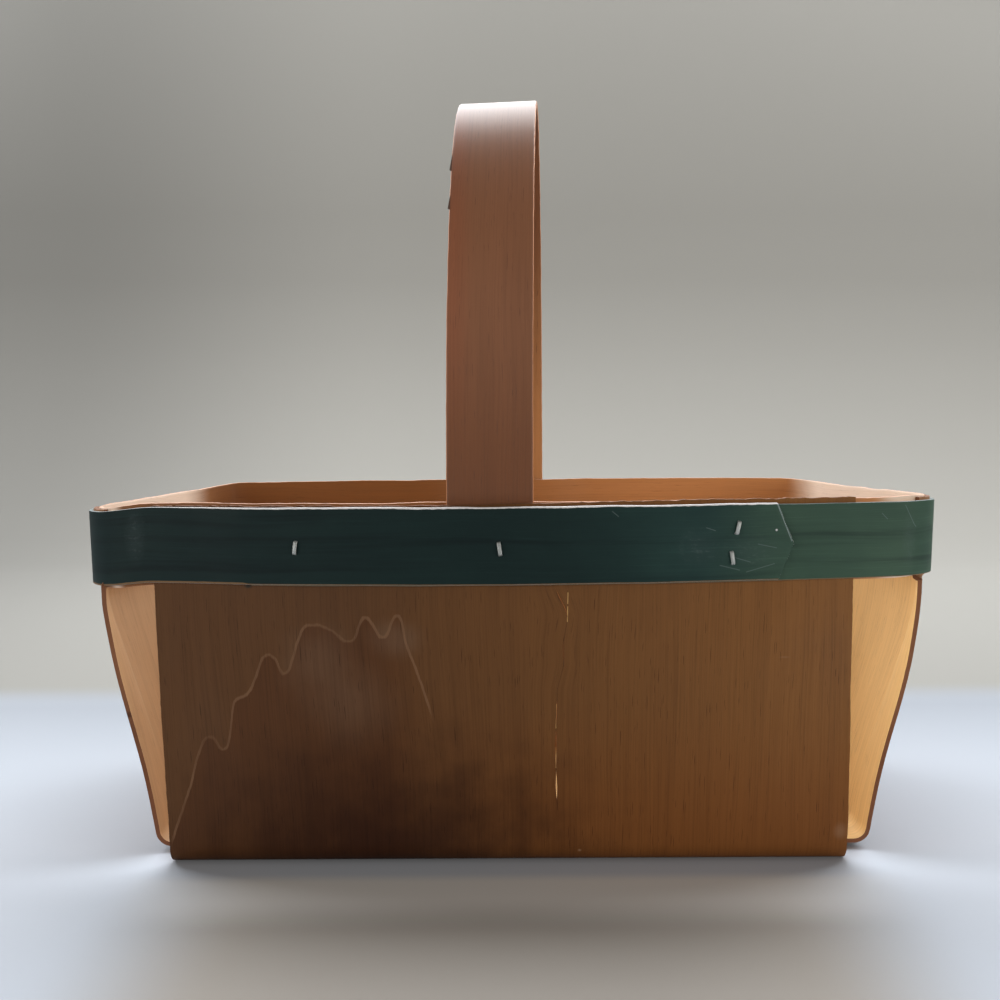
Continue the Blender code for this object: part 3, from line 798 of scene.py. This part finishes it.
def lay_growth_ring(wood, tint):
    """The front's growth ring: a pale, unsteady line of even width, and redder wood below it."""
    x, y, z = wood.axes
    points = [wood.view.meet(pixel, wood.plane) for pixel in GROWTH_RING]
    left, right = points[0].x, points[-1].x
    half_width, wander = 0.00030, 0.0022
    sides = [ring_height(wood, x, points, offset) for offset in (-half_width, half_width)]
    unsteady = wood.noise(wood.where, (240, 240, 240), 3, 0.65)
    place = wood.math("MULTIPLY_ADD", unsteady, wander, wood.math("SUBTRACT", z, wander / 2))
    under = wood.math("SUBTRACT", place, wood.math("MINIMUM", *sides))
    over = wood.math("SUBTRACT", wood.math("MAXIMUM", *sides), place)
    front = wood.ramp(y, *FRONT_HALF, 1.0, 0.0)
    below = wood.times(wood.ramp(over, 0.0, 0.0006), wood.ramp(x, right, right - 0.02), front)
    wood.stain((0.72, 0.54, 0.42, 1), below, 0.5)
    line = wood.times(*(wood.ramp(side, -2.5 * half_width, 0.0) for side in (under, over)))
    inside = wood.times(wood.ramp(x, left, left + 0.002), wood.ramp(x, right, right - 0.003))
    faded = wood.ramp(wood.noise(wood.where, (70, 70, 70), 2), 0.25, 0.65, 0.25, 0.6)
    wood.lay(shade(tint), wood.times(line, inside, front, faded))


def make_web_outside(name, finish, view):
    """The side web's weathered outer face, with the front's growth ring, stain, blotches and crack, lighter
    towards its right partly with painted light, and with painted light along the crack.
    """
    wood = Finish(name, 0.14, view=view, plane=WEB_FRONT)
    x, _, z = wood.axes
    # Lighter towards the right: partly the wood's tone, partly painted light
    wood.base = wood.mix(wood.ramp_line(x, -0.055, 0.10), shade(finish.web_left), shade(finish.web_right))
    low = wood.times(wood.ramp(z, 0.065, 0.005), wood.ramp(x, -0.10, 0.04, 0.0, 0.9))
    wood.lay(shade(finish.web_low), low)
    for pixels in WEB_BLOTCHES:
        wood.lay(shade(finish.web_weather), wood.spot(pixels), 0.65)
    wood.lay(shade(finish.web_stain), wood.spot(WEB_STAIN), 0.9)
    lay_growth_ring(wood, finish.growth_ring)
    grain = wood.figure(1.0, 1.05)
    for ends in zip(CRACK_PATH, CRACK_PATH[1:]):
        wood.lay(shade(finish.web_stain), wood.mark(ends, 0.00022), 0.3)
    # Painted light showing through the crack, in the colour of the end panels' lit inner faces
    for ends in CRACK_LIGHT_LINES:
        wood.lay(shade(finish.end_inside), wood.mark(ends, 0.00016), 0.75)
    wood.lay(shade(finish.dye), wood.spot(WEB_DRIP), 0.8)
    for pixels, share in WEB_PATCHES:
        wood.lay(shade(finish.growth_ring, 1.2), wood.spot(pixels), share)
    wood.close(wood.ramp(grain["Stain"], 0.3, 0.8, 0.68, 0.5), grain["Height"])


def make_inner_band(name, finish):
    """The inner band, in painted light and shade: pale at the ends, where its inner face turns to the light,
    and red-brown along the back, lighter at the back's right.
    """
    wood = Finish(name, 0.3)
    x = wood.axes[0]
    # Painted shade along the back, lighter to its right, and painted light at the ends
    wood.base = wood.mix(wood.ramp(x, -0.05, 0.07), shade(finish.band_back_shaded), shade(finish.band_lit))
    lit_ends = wood.math("MAXIMUM", wood.ramp(x, -0.1345, -0.1395), wood.ramp(x, 0.124, 0.134))
    wood.lay(shade(finish.band_ends_lit), lit_ends)
    wood.close(0.55, wood.figure(6.0, 0.6)["Height"])


def lay_worn_edges(dyed, finish, height, lap):
    """Lays bare the top edge, most of all along the middle of the front, and a thin line at the lower edge.

    The lap is the place along the strip where its last round meets its start.
    """
    x = dyed.axes[0]
    along, across = dyed.split(dyed.strip)[:2]
    wander = dyed.noise(dyed.strip, (300, 0, 0), 5, 0.65)
    slow = dyed.noise(dyed.strip, (28, 0, 0), 2)
    wear = dyed.times(dyed.ramp(x, -0.145, -0.075), dyed.ramp(along, lap - 0.2, lap - 0.12, 0.25, 1.0))
    deep = dyed.math("MULTIPLY_ADD", slow, 0.0005, dyed.times(wander, 0.0007))
    limit = dyed.math("SUBTRACT", height + 0.00012, dyed.times(deep, wear))
    dyed.lay(shade(finish.bare), dyed.ramp(dyed.math("SUBTRACT", across, limit), -0.00008, 0.00010))
    shown = dyed.math("MULTIPLY_ADD", dyed.ramp(x, -0.088, -0.092), -0.0004, across)
    low = dyed.ramp(dyed.math("MULTIPLY_ADD", wander, 0.0003, shown), 0.00055, 0.00035)
    dyed.lay(shade(finish.bare_low), low, 0.75)


def make_dyed(name, finish, height, lap, view):
    """Dyed splint, rubbed along its grain, scuffed and scratched on its last round, with a painted highlight
    at its right corner and a painted glint, and worn at its edges.
    """
    dyed = Finish(name, 0.12, view=view, plane=BAND_FRONT)
    along = dyed.split(dyed.strip)[0]
    grain = dyed.group("Veneer grain", dyed.strip, 3.0)
    dyed.base = shade(finish.dye)
    dyed.lay(shade(finish.dye_blue), dyed.ramp(along, lap + 0.01, lap + 0.07), 0.9)
    first = dyed.ramp(along, 0.16, 0.34, 1.0, 0.0)
    faded = dyed.times(dyed.ramp(along, lap + 0.060, lap + 0.098), 0.8)
    dyed.lay(shade(finish.dye_green), dyed.math("MAXIMUM", first, faded))
    dyed.stain((1.7, 1.6, 1.45, 1), dyed.ramp(grain["Stain"], 0.35, 0.72, 0.0, 0.5))
    dyed.stain((1.6, 1.55, 1.5, 1), dyed.ramp(grain["Fine"], 0.5, 0.8, 0.0, 0.6))
    dyed.stain((0.5, 0.5, 0.55, 1), dyed.ramp(grain["Broad"], 0.5, 0.28, 0.0, 0.75))
    rubbed = dyed.ramp(dyed.noise(dyed.where, (380, 380, 900), 4, 0.7), 0.5, 0.75)
    # Scuffs, and a painted highlight at the rim's right corner
    for pixels, least in BAND_SCUFFS_AND_HIGHLIGHT:
        share = dyed.math("MULTIPLY_ADD", rubbed, 0.15, least)
        dyed.lay(shade(finish.scuff_and_highlight), dyed.times(dyed.spot(pixels), share))
    for ends in BAND_SCRATCHES:
        dyed.lay(shade(finish.scuff_and_highlight, 1.3), dyed.mark(ends, 0.00020), 0.24)
    dyed.lay(shade(finish.scuff_and_highlight, 1.6), dyed.mark(LAP_LINE, 0.00032), 0.5)
    # A painted glint
    dyed.lay(shade(finish.bare), dyed.spot(BAND_GLINT))
    lay_worn_edges(dyed, finish, height, lap)
    dyed.close(dyed.ramp(grain["Stain"], 0.3, 0.8, 0.62, 0.48), grain["Height"], 0.2)


def make_handle_face(name, finish, view):
    """The handle's outer face, redder on the left, darker near the rim in painted shade, and polished by
    hands along the top.
    """
    wood = Finish(name, 0.5, view=view, plane=HANDLE_FRONT)
    x, _, z = wood.axes
    wood.base = shade(finish.handle)
    wood.stain((1.08, 0.92, 0.88, 1), wood.ramp(x, -0.012, -0.020))
    # Painted shade near the rim
    wood.lay(shade(finish.handle_low_shaded), wood.ramp(z, 0.20, 0.13))
    grain = wood.figure(7.0, 0.8)
    for ends in HANDLE_SPLINTERS:
        wood.lay(shade(finish.splinter), wood.mark(ends, 0.0004), 0.85)
    polish = wood.ramp(z, 0.18, 0.26, 0.60, 0.46)
    wood.close(wood.math("MULTIPLY_ADD", grain["Stain"], -0.08, polish), grain["Height"], 0.2)


def make_handle_inside(name, finish):
    """The handle's inner face: paler down the legs, and darker towards the top of the arch."""
    wood = Finish(name, 0.25)
    wood.base = shade(finish.handle_inside)
    wood.lay(shade(finish.handle, 0.7), wood.ramp(wood.axes[2], 0.14, 0.25))
    wood.close(0.55, wood.figure(7.2, 0.8)["Height"])


def make_bare_edge(name, finish, lap):
    """The outer band's cut edges: bare along the middle of the front, and still dyed elsewhere."""
    wood = Finish(name, 0.2)
    wood.base = shade(finish.scuff_and_highlight, 0.9)
    wood.lay(shade(finish.bare), wood.ramp(wood.split(wood.strip)[0], lap - 0.17, lap - 0.07))
    wood.close(0.7, wood.figure(8.0, 0.5)["Height"])


def make_steel(name, tint):
    """Dull wire, with patches that are darker and rougher."""
    steel = Finish(name, metallic=1.0)
    dull = steel.noise(steel.where, (900, 900, 900), 3)
    steel.base = shade(tint, 0.75)
    steel.lay(shade(tint, 1.15), dull)
    steel.close(steel.ramp(dull, 0.3, 0.7, 0.55, 0.75))


class BASKET_OT_finishes(Operator):
    """Make the shared node groups and the finishes"""

    bl_idname = "basket.finishes"
    bl_label = "Finishes"

    def execute(self, context):
        scene = context.scene
        finish, view, form = scene.basket_finish, View(scene.basket_stage), Form(scene)
        make_grain_group()
        make_mark_group()
        make_spot_group()
        make_web_outside("web_outside", finish, view)
        make_veneer("web_inside", finish.web_inside, 1.5, 0.6)
        make_veneer("web_edge", finish.torn_edge, 2.0, 0.8, 1.3)
        make_veneer("end_outside", finish.end_outside, 4.0, 0.6)
        make_veneer("end_inside", finish.end_inside, 4.5, 0.58, 0.85, left=finish.end_left_shaded)
        make_inner_band("inner_band_face", finish)
        make_veneer("inner_band_edge", finish.band_edge, 6.5, 0.7)
        make_handle_face("handle_face", finish, view)
        make_handle_inside("handle_inside", finish)
        make_veneer("handle_edge", finish.handle_edge, 7.5, 0.5, 0.8)
        make_veneer("splinter", finish.splinter, 7.8, 0.7, 0.8)
        make_dyed("dyed_face", finish, scene.basket_bands.outer_height, form.round, view)
        make_bare_edge("bare_edge", finish, form.round)
        make_steel("staple_wire_dull", finish.steel)
        return {"FINISHED"}


def materials(*names):
    return [bpy.data.materials[name] for name in names]


class BASKET_OT_webs(Operator):
    """Make the two folded webs of veneer"""

    bl_idname = "basket.webs"
    bl_label = "Webs"

    def execute(self, context):
        form = Form(context.scene)
        webs = form.webs
        floor_width = form.side_width - webs.side_taper
        sizes = (floor_width, webs.side_floor_shift, form.side_foot, webs.side_fold, webs.side_lean, 0)
        finishes = materials("web_outside", "web_inside", "web_edge")
        self.make_web(form, "side_web", FRONT, *sizes, finishes, View(context.scene.basket_stage))
        floor_width = form.end_width - webs.end_taper
        sizes = (floor_width, 0, form.end_foot, webs.end_fold, webs.end_lean, webs.wall + form.gap)
        self.make_web(form, "end_web", RIGHT, *sizes, materials("end_outside", "end_inside", "web_edge"))
        return {"FINISHED"}

    def make_web(
        self, form, node, side, floor_width, floor_shift, foot, fold, lean, floor, finishes, view=None,
    ):
        """One strip from the top of one panel, across the floor, to the top of the other.

        Its rows are counted in stages from the middle of the floor: 0 to 1 is the floor, 1 to 2 the fold,
        2 to 3 the panel up to the rim, and 3 to 4 the stretch that the bands grip. They are negative on the
        other side. A web that is given the view has the crack in its front panel.
        """
        webs = form.webs
        near = form.panel_edges(side)
        far = form.panel_edges(side + 2)[::-1]
        width = near[1] - near[0]
        facing = Vector((0, -1, 0)) if side == FRONT else Vector((1, 0, 0))
        sideways = Vector((-facing.y, facing.x, 0))
        up = Vector((0, 0, 1))
        centre = Vector((0, form.layer / 2, 0))
        fold_turn = math.pi / 2 - lean

        def slack(place, edges, height):
            """How far an end panel's corner is off the rim's line, below the bands."""
            if side == FRONT:
                return Vector()
            edge, inward = (min(edges), 1) if place < sum(edges) / 2 else (max(edges), -1)
            reach = webs.corner_reach
            share = 1 - abs(place - edge) / reach
            if share <= 0:
                return Vector()
            tip = form.point(edge, form.seat_bottom, webs.corner_slack)
            straight = form.point(edge + inward * reach, form.seat_bottom, 0).lerp(tip, share)
            below_bands = ease((form.band_bottom - form.gap - height) / SLACK_UNDER_BANDS)
            above_fold = ease((height - SLACK_LOW) / (SLACK_FULL - SLACK_LOW))
            return (straight - form.point(place, form.seat_bottom, 0)) * (below_bands * above_fold)

        def nicked(share, stage):
            """The web's cut edges, nicked most where they stand free."""
            inward = 1 if share < 0.5 else -1
            coarse, fine = rough(stage, side + inward + 9, 7), rough(stage, side + inward, 40)
            depth = NICKS * (1 if 1.8 < abs(stage) < 3.4 else 0.3)
            return share + inward * depth * (0.5 + 0.5 * coarse + 0.3 * fine) / width

        def panel_top(place, share, panel):
            torn = 0.7 * rough(place, panel + 3, 350) + 0.4 * rough(place, panel + 5, 1300)
            top = form.rim.top + webs.rise + webs.torn * torn
            if panel == FRONT:
                # The front panel stands higher at its right
                top += 0.0011 * ease(share * 2.5 - 0.9) - 0.0003
            return top

        def bend(share, signed_stage):
            outward, edges, panel = (facing, near, side) if signed_stage >= 0 else (-facing, far, side + 2)
            stage = abs(signed_stage)
            if share in (0, 1):
                share = nicked(share, signed_stage)
            base = centre + sideways * (floor_shift + floor_width * (share - 0.5))
            if stage <= 1:
                return base + outward * (foot / 2 - fold) * stage + up * floor
            turned = fold_turn * min(stage - 1, 1)
            fold_centre = base + outward * (foot / 2 - fold) + up * (floor + fold)
            folded = fold_centre + (outward * math.sin(turned) - up * math.cos(turned)) * fold
            if stage <= 2:
                return folded
            place = edges[0] + (edges[1] - edges[0]) * share
            seat_low = form.point(place, form.seat_bottom, 0)
            seat_high = form.point(place, panel_top(place, share, panel), 0)
            if stage > 3:
                point = seat_low.lerp(seat_high, stage - 3)
                return point + slack(place, edges, point.z)
            third = (seat_low.z - folded.z) / 3
            leaving = (outward * math.tan(lean) + up) * third
            limp = END_PANEL_LIMPNESS.get(panel, 1)
            arriving = (seat_high - seat_low) / (seat_high.z - seat_low.z) * third * limp
            points = (folded, folded + leaving, seat_low - arriving, seat_low)
            rise = stage - 2
            weights = [math.comb(3, i) * rise**i * (1 - rise) ** (3 - i) for i in range(4)]
            point = sum((point * weight for point, weight in zip(points, weights)), Vector())
            return point + slack(place, edges, point.z)

        half = [0]
        for stage, steps in WEB_ROWS:
            half += spread(half[-1], stage, steps)[1:]
        rows = [-stage for stage in reversed(half[1:])] + half
        columns = spread(0, 1, round(width / WEB_COLUMN))
        lengths = travelled(rows, bend, 0.5)

        def grain(share, stage):
            return lengths[stage], share * width

        sheet, grid = bent_sheet(node, columns, rows, bend, grain)
        if view:
            self.crack(sheet, grid, view)
        finish_piece(node, node + "_veneer", sheet, finishes, webs.wall)

    @staticmethod
    def crack(sheet, grid, view):
        """Draws one column of the front panel onto the crack's path, and opens slits along it."""
        path = [view.meet(pixel, WEB_FRONT) for pixel in CRACK_PATH]
        slits = [(*(view.meet((0, end), WEB_FRONT).z for end in ends), half) for *ends, half in CRACK_SLITS]
        bottom, top = CRACK_FADE

        def path_x(z):
            for above, below in zip(path, path[1:]):
                if z >= below.z:
                    share = min(max((z - below.z) / (above.z - below.z), 0), 1)
                    return below.x + (above.x - below.x) * share
            return path[-1].x

        def half_opening(z):
            for high, low, half in slits:
                if low < z < high:
                    return half * math.sin(math.pi * (z - low) / (high - low)) ** 0.6
            return 0

        middle = (path[0].z + path[-1].z) / 2
        aim = Vector((path_x(middle), WEB_FRONT, middle))
        front = {key: dot for key, dot in grid.items() if dot.co.y < 0 and bottom < dot.co.z < top}
        column = min(front, key=lambda key: (front[key].co - aim).length)[0]
        rows = sorted(row for number, row in front if number == column)
        starts = {row: front[column, row].co.copy() for row in rows}
        for (number, row), vertex in front.items():
            line = starts.get(row)
            if line is None:
                continue
            fade = ease((line.z - bottom) / CRACK_REACH) * ease((top - line.z) / CRACK_REACH)
            near = 1 - ease(abs(vertex.co.x - line.x) / CRACK_REACH)
            vertex.co.x += (path_x(line.z) - line.x) * fade * near
        lips = {}
        for row in rows:
            place = front[column, row].co
            lips[place.to_tuple(7)] = half_opening(place.z)
        edges = []
        for row in rows:
            if not half_opening(front[column, row].co.z):
                continue
            for other in (row - 1, row + 1):
                edge = sheet.edges.get((front[column, row], front[column, other]))
                if edge not in edges:
                    edges.append(edge)
        bmesh.ops.split_edges(sheet, edges=edges)
        for vertex in sheet.verts:
            half = lips.get(vertex.co.to_tuple(7))
            if half:
                faces = vertex.link_faces
                beside = sum(face.calc_center_median().x for face in faces) / len(faces)
                vertex.co.x += math.copysign(half, beside - vertex.co.x)


class BASKET_OT_bands(Operator):
    """Make the dyed outer band and the bare inner band"""

    bl_idname = "basket.bands"
    bl_label = "Bands"

    def execute(self, context):
        form = Form(context.scene)
        self.make_outer_band(form)
        self.make_inner_band(form)
        return {"FINISHED"}

    @staticmethod
    def make_band(node, start, end, shares, bend, height, wall, arris, finishes):
        """A strip wound round the rim, with rows at these shares of its height."""

        def grain(place, share):
            return place, height * share

        columns = spread(start, end, round((end - start) / BAND_COLUMN))
        sheet, _ = bent_sheet(node, columns, shares, bend, grain)
        finish_piece(node, node + "_splint", sheet, finishes, wall, arris)

    def make_outer_band(self, form):
        bands = form.bands
        start, end = -bands.outer_start, form.round + bands.outer_end
        end_taper = 0.030

        def bend(place, share):
            low = form.band_bottom - bands.outer_climb * (end - place) / (end - start)
            out = form.outer_out(place)
            low += 0.00012 * rough(place, 1, 60)
            tall = bands.outer_height + 0.00015 * rough(place, 2, 90)
            near_end = ease((place - end + end_taper) / end_taper)
            cut = abs(share - bands.end_tip) / max(bands.end_tip, 1 - bands.end_tip)
            place -= near_end * (bands.end_cut * cut + 0.0003 * rough(share, 4, 9))
            return form.point(place, low + tall * share, out)

        shares = [0, 0.03, 0.1, 0.25, 0.4, bands.end_tip, 0.6, 0.75, 0.9, 0.97, 1]
        sizes = (bands.outer_height, bands.outer_wall, bands.arris)
        finishes = materials("dyed_face", "inner_band_face", "bare_edge")
        self.make_band("outer_band", start, end, shares, bend, *sizes, finishes)

    def make_inner_band(self, form):
        bands = form.bands

        def bend(place, share):
            low = form.inner_bottom + 0.0002 * rough(place, 6, 40)
            tall = bands.inner_height + 0.0003 * rough(place, 7, 60) + 0.0001 * rough(place, 8, 400)
            return form.point(place, low + tall * share, -form.inner_in(place))

        shares = [0, 0.03, 0.1, 0.3, 0.5, 0.7, 0.9, 0.97, 1]
        sizes = (bands.inner_height, bands.inner_wall, bands.arris)
        finishes = materials("inner_band_face", "inner_band_face", "inner_band_edge")
        self.make_band("inner_band", *form.inner_ends(), shares, bend, *sizes, finishes)


class BASKET_OT_handle(Operator):
    """Make the bent handle"""

    bl_idname = "basket.handle"
    bl_label = "Handle"

    def execute(self, context):
        form = Form(context.scene)
        handle = form.handle
        set_in = form.webs.wall + form.leg_set_in()
        centre = Vector((0, form.layer / 2, 0))
        heights = spread(form.inner_bottom - handle.tail, form.rim.top, 8)
        leg = [form.point(0, height, -set_in) - centre for height in heights]
        half_span = -leg[-1].y
        power = 2 / handle.fullness
        rise = handle.top - form.rim.top
        arch = []
        for angle in spread(0, math.pi, 240)[1:-1]:
            reach = half_span * abs(math.cos(angle)) ** power
            height = form.rim.top + rise * math.sin(angle) ** power
            arch.append(Vector((0, -math.copysign(reach, math.cos(angle)), height)))
        line = [*leg, *arch, *(point * Vector((1, -1, 1)) for point in reversed(leg))]

        def bend(across, step):
            point = line[step]
            share = min(max((point.y + half_span) / (2 * half_span), 0), 1)
            shift = handle.front_shift + (handle.back_shift - handle.front_shift) * share
            edge = abs(across) > handle.width / 2 - 0.0001
            ragged = 0.00012 * rough(step, across * 300, 0.4) if edge else 0
            sag = ARCH_SAG * (0.5 - across / handle.width) * ease((point.z - form.rim.top) / rise)
            return centre + point + Vector((across + shift + ragged, 0, -sag))

        rows = list(range(len(line)))
        lengths = travelled(rows, bend, 0)

        def grain(across, step):
            return lengths[step], across + handle.width / 2

        columns = [handle.width * share for share in (-0.5, -0.47, -0.4, -0.25, 0, 0.25, 0.4, 0.47, 0.5)]
        sheet, _ = bent_sheet("handle", columns, rows, bend, grain)
        finishes = materials("handle_face", "handle_inside", "handle_edge")
        finish_piece("handle", "handle_strip", sheet, finishes, handle.wall, handle.arris)
        front = [bend(-handle.width / 2, step) for step, point in enumerate(line) if point.y < 0]
        self.make_splinters(front, View(context.scene.basket_stage))
        return {"FINISHED"}

    @staticmethod
    def make_splinters(edge, view):
        """Slivers of torn wood that stand out of the handle's left edge."""
        slivers = bmesh.new()
        for ends in HANDLE_SPLINTERS:
            heights = [view.meet(pixel, HANDLE_FRONT).z for pixel in ends]
            upper, lower = (min(edge, key=lambda point: abs(point.z - height)) for height in heights)
            middle = lower.lerp(upper, 0.4)
            root = Vector((0.0004, 0.0003, 0))
            tip = Vector((-0.0005, 0, 0))
            thin, thick = Vector((-0.0002, -0.0002, 0)), Vector((0.0004, 0.0012, 0))
            tip += lower.lerp(upper, 0.05)
            places = (upper + root, lower + root, tip, middle + thin, middle + thick)
            bmesh.ops.convex_hull(slivers, input=[slivers.verts.new(place) for place in places])
        grain_map = slivers.loops.layers.uv.new(GRAIN_MAP)
        for face in slivers.faces:
            for loop in face.loops:
                loop[grain_map].uv = (loop.vert.co.z, loop.vert.co.x)
        bmesh.ops.recalc_face_normals(slivers, faces=slivers.faces)
        piece = new_piece("handle_splinters", slivers, materials("splinter"))
        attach(piece, "root")


class BASKET_OT_staples(Operator):
    """Round the arrises of the staples"""

    bl_idname = "basket.staples"
    bl_label = "Staples"

    def execute(self, context):
        for node, solid in frame["nodes"].items():
            if not node.startswith("staple_"):
                continue
            wire = bmesh.new()
            wire.from_mesh(solid.data)
            bmesh.ops.remove_doubles(wire, verts=wire.verts, dist=0.00001)
            bmesh.ops.dissolve_limit(wire, angle_limit=math.radians(2), verts=wire.verts, edges=wire.edges)
            sharp = [edge for edge in wire.edges if edge.calc_face_angle(0) > math.radians(50)]
            bmesh.ops.bevel(
                wire, geom=sharp, offset=WIRE_ARRIS, offset_type="OFFSET", segments=2,
                profile=0.5, affect="EDGES", material=-1,
            )
            piece = new_piece(node + "_wire", wire, materials("staple_wire_dull"))
            piece.data.shade_smooth()
            piece.data.set_sharp_from_angle(angle=SHARP_ANGLE)
            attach(piece, "root")
            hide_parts(node)
        return {"FINISHED"}


class BASKET_OT_stage(Operator):
    """Make the floor, the lamps and the camera"""

    bl_idname = "basket.stage"
    bl_label = "Stage"

    def execute(self, context):
        scene = context.scene
        scene.view_settings.view_transform = "Standard"
        self.make_floor(scene)
        self.make_world(scene)
        for name, settings in LAMPS.items():
            self.make_lamp(scene, name, *settings)
        self.make_camera(scene)
        return {"FINISHED"}

    @staticmethod
    def make_floor(scene):
        """A cloth that turns up behind the basket, shaded in front of it as in the photograph."""
        stage = scene.basket_stage
        cloth = Finish("pale_cloth")
        x, y, _ = cloth.axes
        cloth.base = shade(stage.floor)
        cloth.lay(shade(stage.floor, 0.53), cloth.ramp_line(y, -0.08, 0.16))
        cloth.lay(shade(stage.floor, 0.35), cloth.ramp(cloth.vector("LENGTH", cloth.where), 0.5, 1.1))
        beside = cloth.ramp(cloth.math("ABSOLUTE", x), 0.135, 0.080)
        front = cloth.times(cloth.ramp(y, -0.085, -0.095), cloth.ramp(y, -0.26, -0.19), beside)
        further = cloth.ramp(y, -0.108, -0.135)
        cloth.lay(cloth.mix(further, shade(stage.shade_near), shade(stage.shade_far)), front)
        lit = cloth.ramp(x, -0.60, -0.15)
        backdrop = cloth.mix(lit, shade(stage.backdrop, 0.62), shade(stage.backdrop))
        cloth.lay(backdrop, cloth.ramp(y, 0.17, 0.22))
        cloth.close(0.9)
        floor = bmesh.new()
        bmesh.ops.create_grid(floor, x_segments=2, y_segments=60, size=2.5)
        turn_start, radius = 0.8, 0.35
        for vertex in floor.verts:
            past = vertex.co.y - turn_start
            if past > 0:
                angle = min(past / radius, math.pi / 2)
                vertex.co.y = turn_start + radius * math.sin(angle)
                vertex.co.z = radius * (1 - math.cos(angle)) + max(past - radius * math.pi / 2, 0)
        piece = new_piece("floor", floor, [cloth.material])
        piece.data.shade_smooth()
        piece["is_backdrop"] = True

    @staticmethod
    def make_world(scene):
        world = bpy.data.worlds.new("soft_room")
        scene.world = world
        world.use_nodes = True
        background = world.node_tree.nodes["Background"]
        background.inputs["Color"].default_value = ROOM_LIGHT
        background.inputs["Strength"].default_value = ROOM_STRENGTH

    @staticmethod
    def make_lamp(scene, name, place, target_height, width, height, power, tint):
        lamp = bpy.data.lights.new(name, "AREA")
        lamp.shape = "RECTANGLE"
        lamp.size, lamp.size_y = width, height
        lamp.energy = power
        lamp.color = tint
        holder = bpy.data.objects.new(name, lamp)
        scene.collection.objects.link(holder)
        holder.location = place
        aim = Vector((0, 0, target_height)) - Vector(place)
        holder.rotation_euler = aim.to_track_quat("-Z", "Y").to_euler()

    @staticmethod
    def make_camera(scene):
        view = View(scene.basket_stage)
        camera = bpy.data.cameras.new("camera")
        camera.lens = view.lens
        camera.sensor_width = SENSOR_WIDTH
        camera.shift_x = view.shift
        holder = bpy.data.objects.new("camera", camera)
        scene.collection.objects.link(holder)
        holder.matrix_world = view.matrix
        scene.camera = holder


class BASKET_PT_panel(Panel):
    bl_idname = "BASKET_PT_panel"
    bl_label = "Berry basket"
    bl_space_type = "VIEW_3D"
    bl_region_type = "UI"
    bl_category = "Basket"

    def draw(self, context):
        for operator in OPERATORS:
            self.layout.operator(operator.bl_idname)
        for name in SETTINGS:
            box = self.layout.box()
            box.label(text=name.replace("_", " ").capitalize())
            settings = getattr(context.scene, name)
            for key in settings.bl_rna.properties.keys():
                if key not in ("rna_type", "name"):
                    box.prop(settings, key)


SETTINGS = {
    "basket_rim": RimSettings,
    "basket_webs": WebSettings,
    "basket_bands": BandSettings,
    "basket_handle": HandleSettings,
    "basket_finish": FinishSettings,
    "basket_stage": StageSettings,
}
OPERATORS = (
    BASKET_OT_finishes,
    BASKET_OT_webs,
    BASKET_OT_bands,
    BASKET_OT_handle,
    BASKET_OT_staples,
    BASKET_OT_stage,
)


def register():
    for cls in (*SETTINGS.values(), *OPERATORS, BASKET_PT_panel):
        bpy.utils.register_class(cls)
    for name, settings in SETTINGS.items():
        setattr(bpy.types.Scene, name, PointerProperty(type=settings))


def unregister():
    for name in SETTINGS:
        delattr(bpy.types.Scene, name)
    for cls in (BASKET_PT_panel, *reversed(OPERATORS), *SETTINGS.values()):
        bpy.utils.unregister_class(cls)


def main():
    register()
    for thing in list(bpy.data.objects):
        if thing.type in ("LIGHT", "CAMERA"):
            bpy.data.objects.remove(thing)
    bpy.ops.basket.finishes()
    bpy.ops.basket.webs()
    bpy.ops.basket.bands()
    bpy.ops.basket.handle()
    bpy.ops.basket.staples()
    bpy.ops.basket.stage()
    boxes = [[list(corner) for corner in box] for box in (CAD_BOX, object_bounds())]


if __name__ == "__main__":
    main()
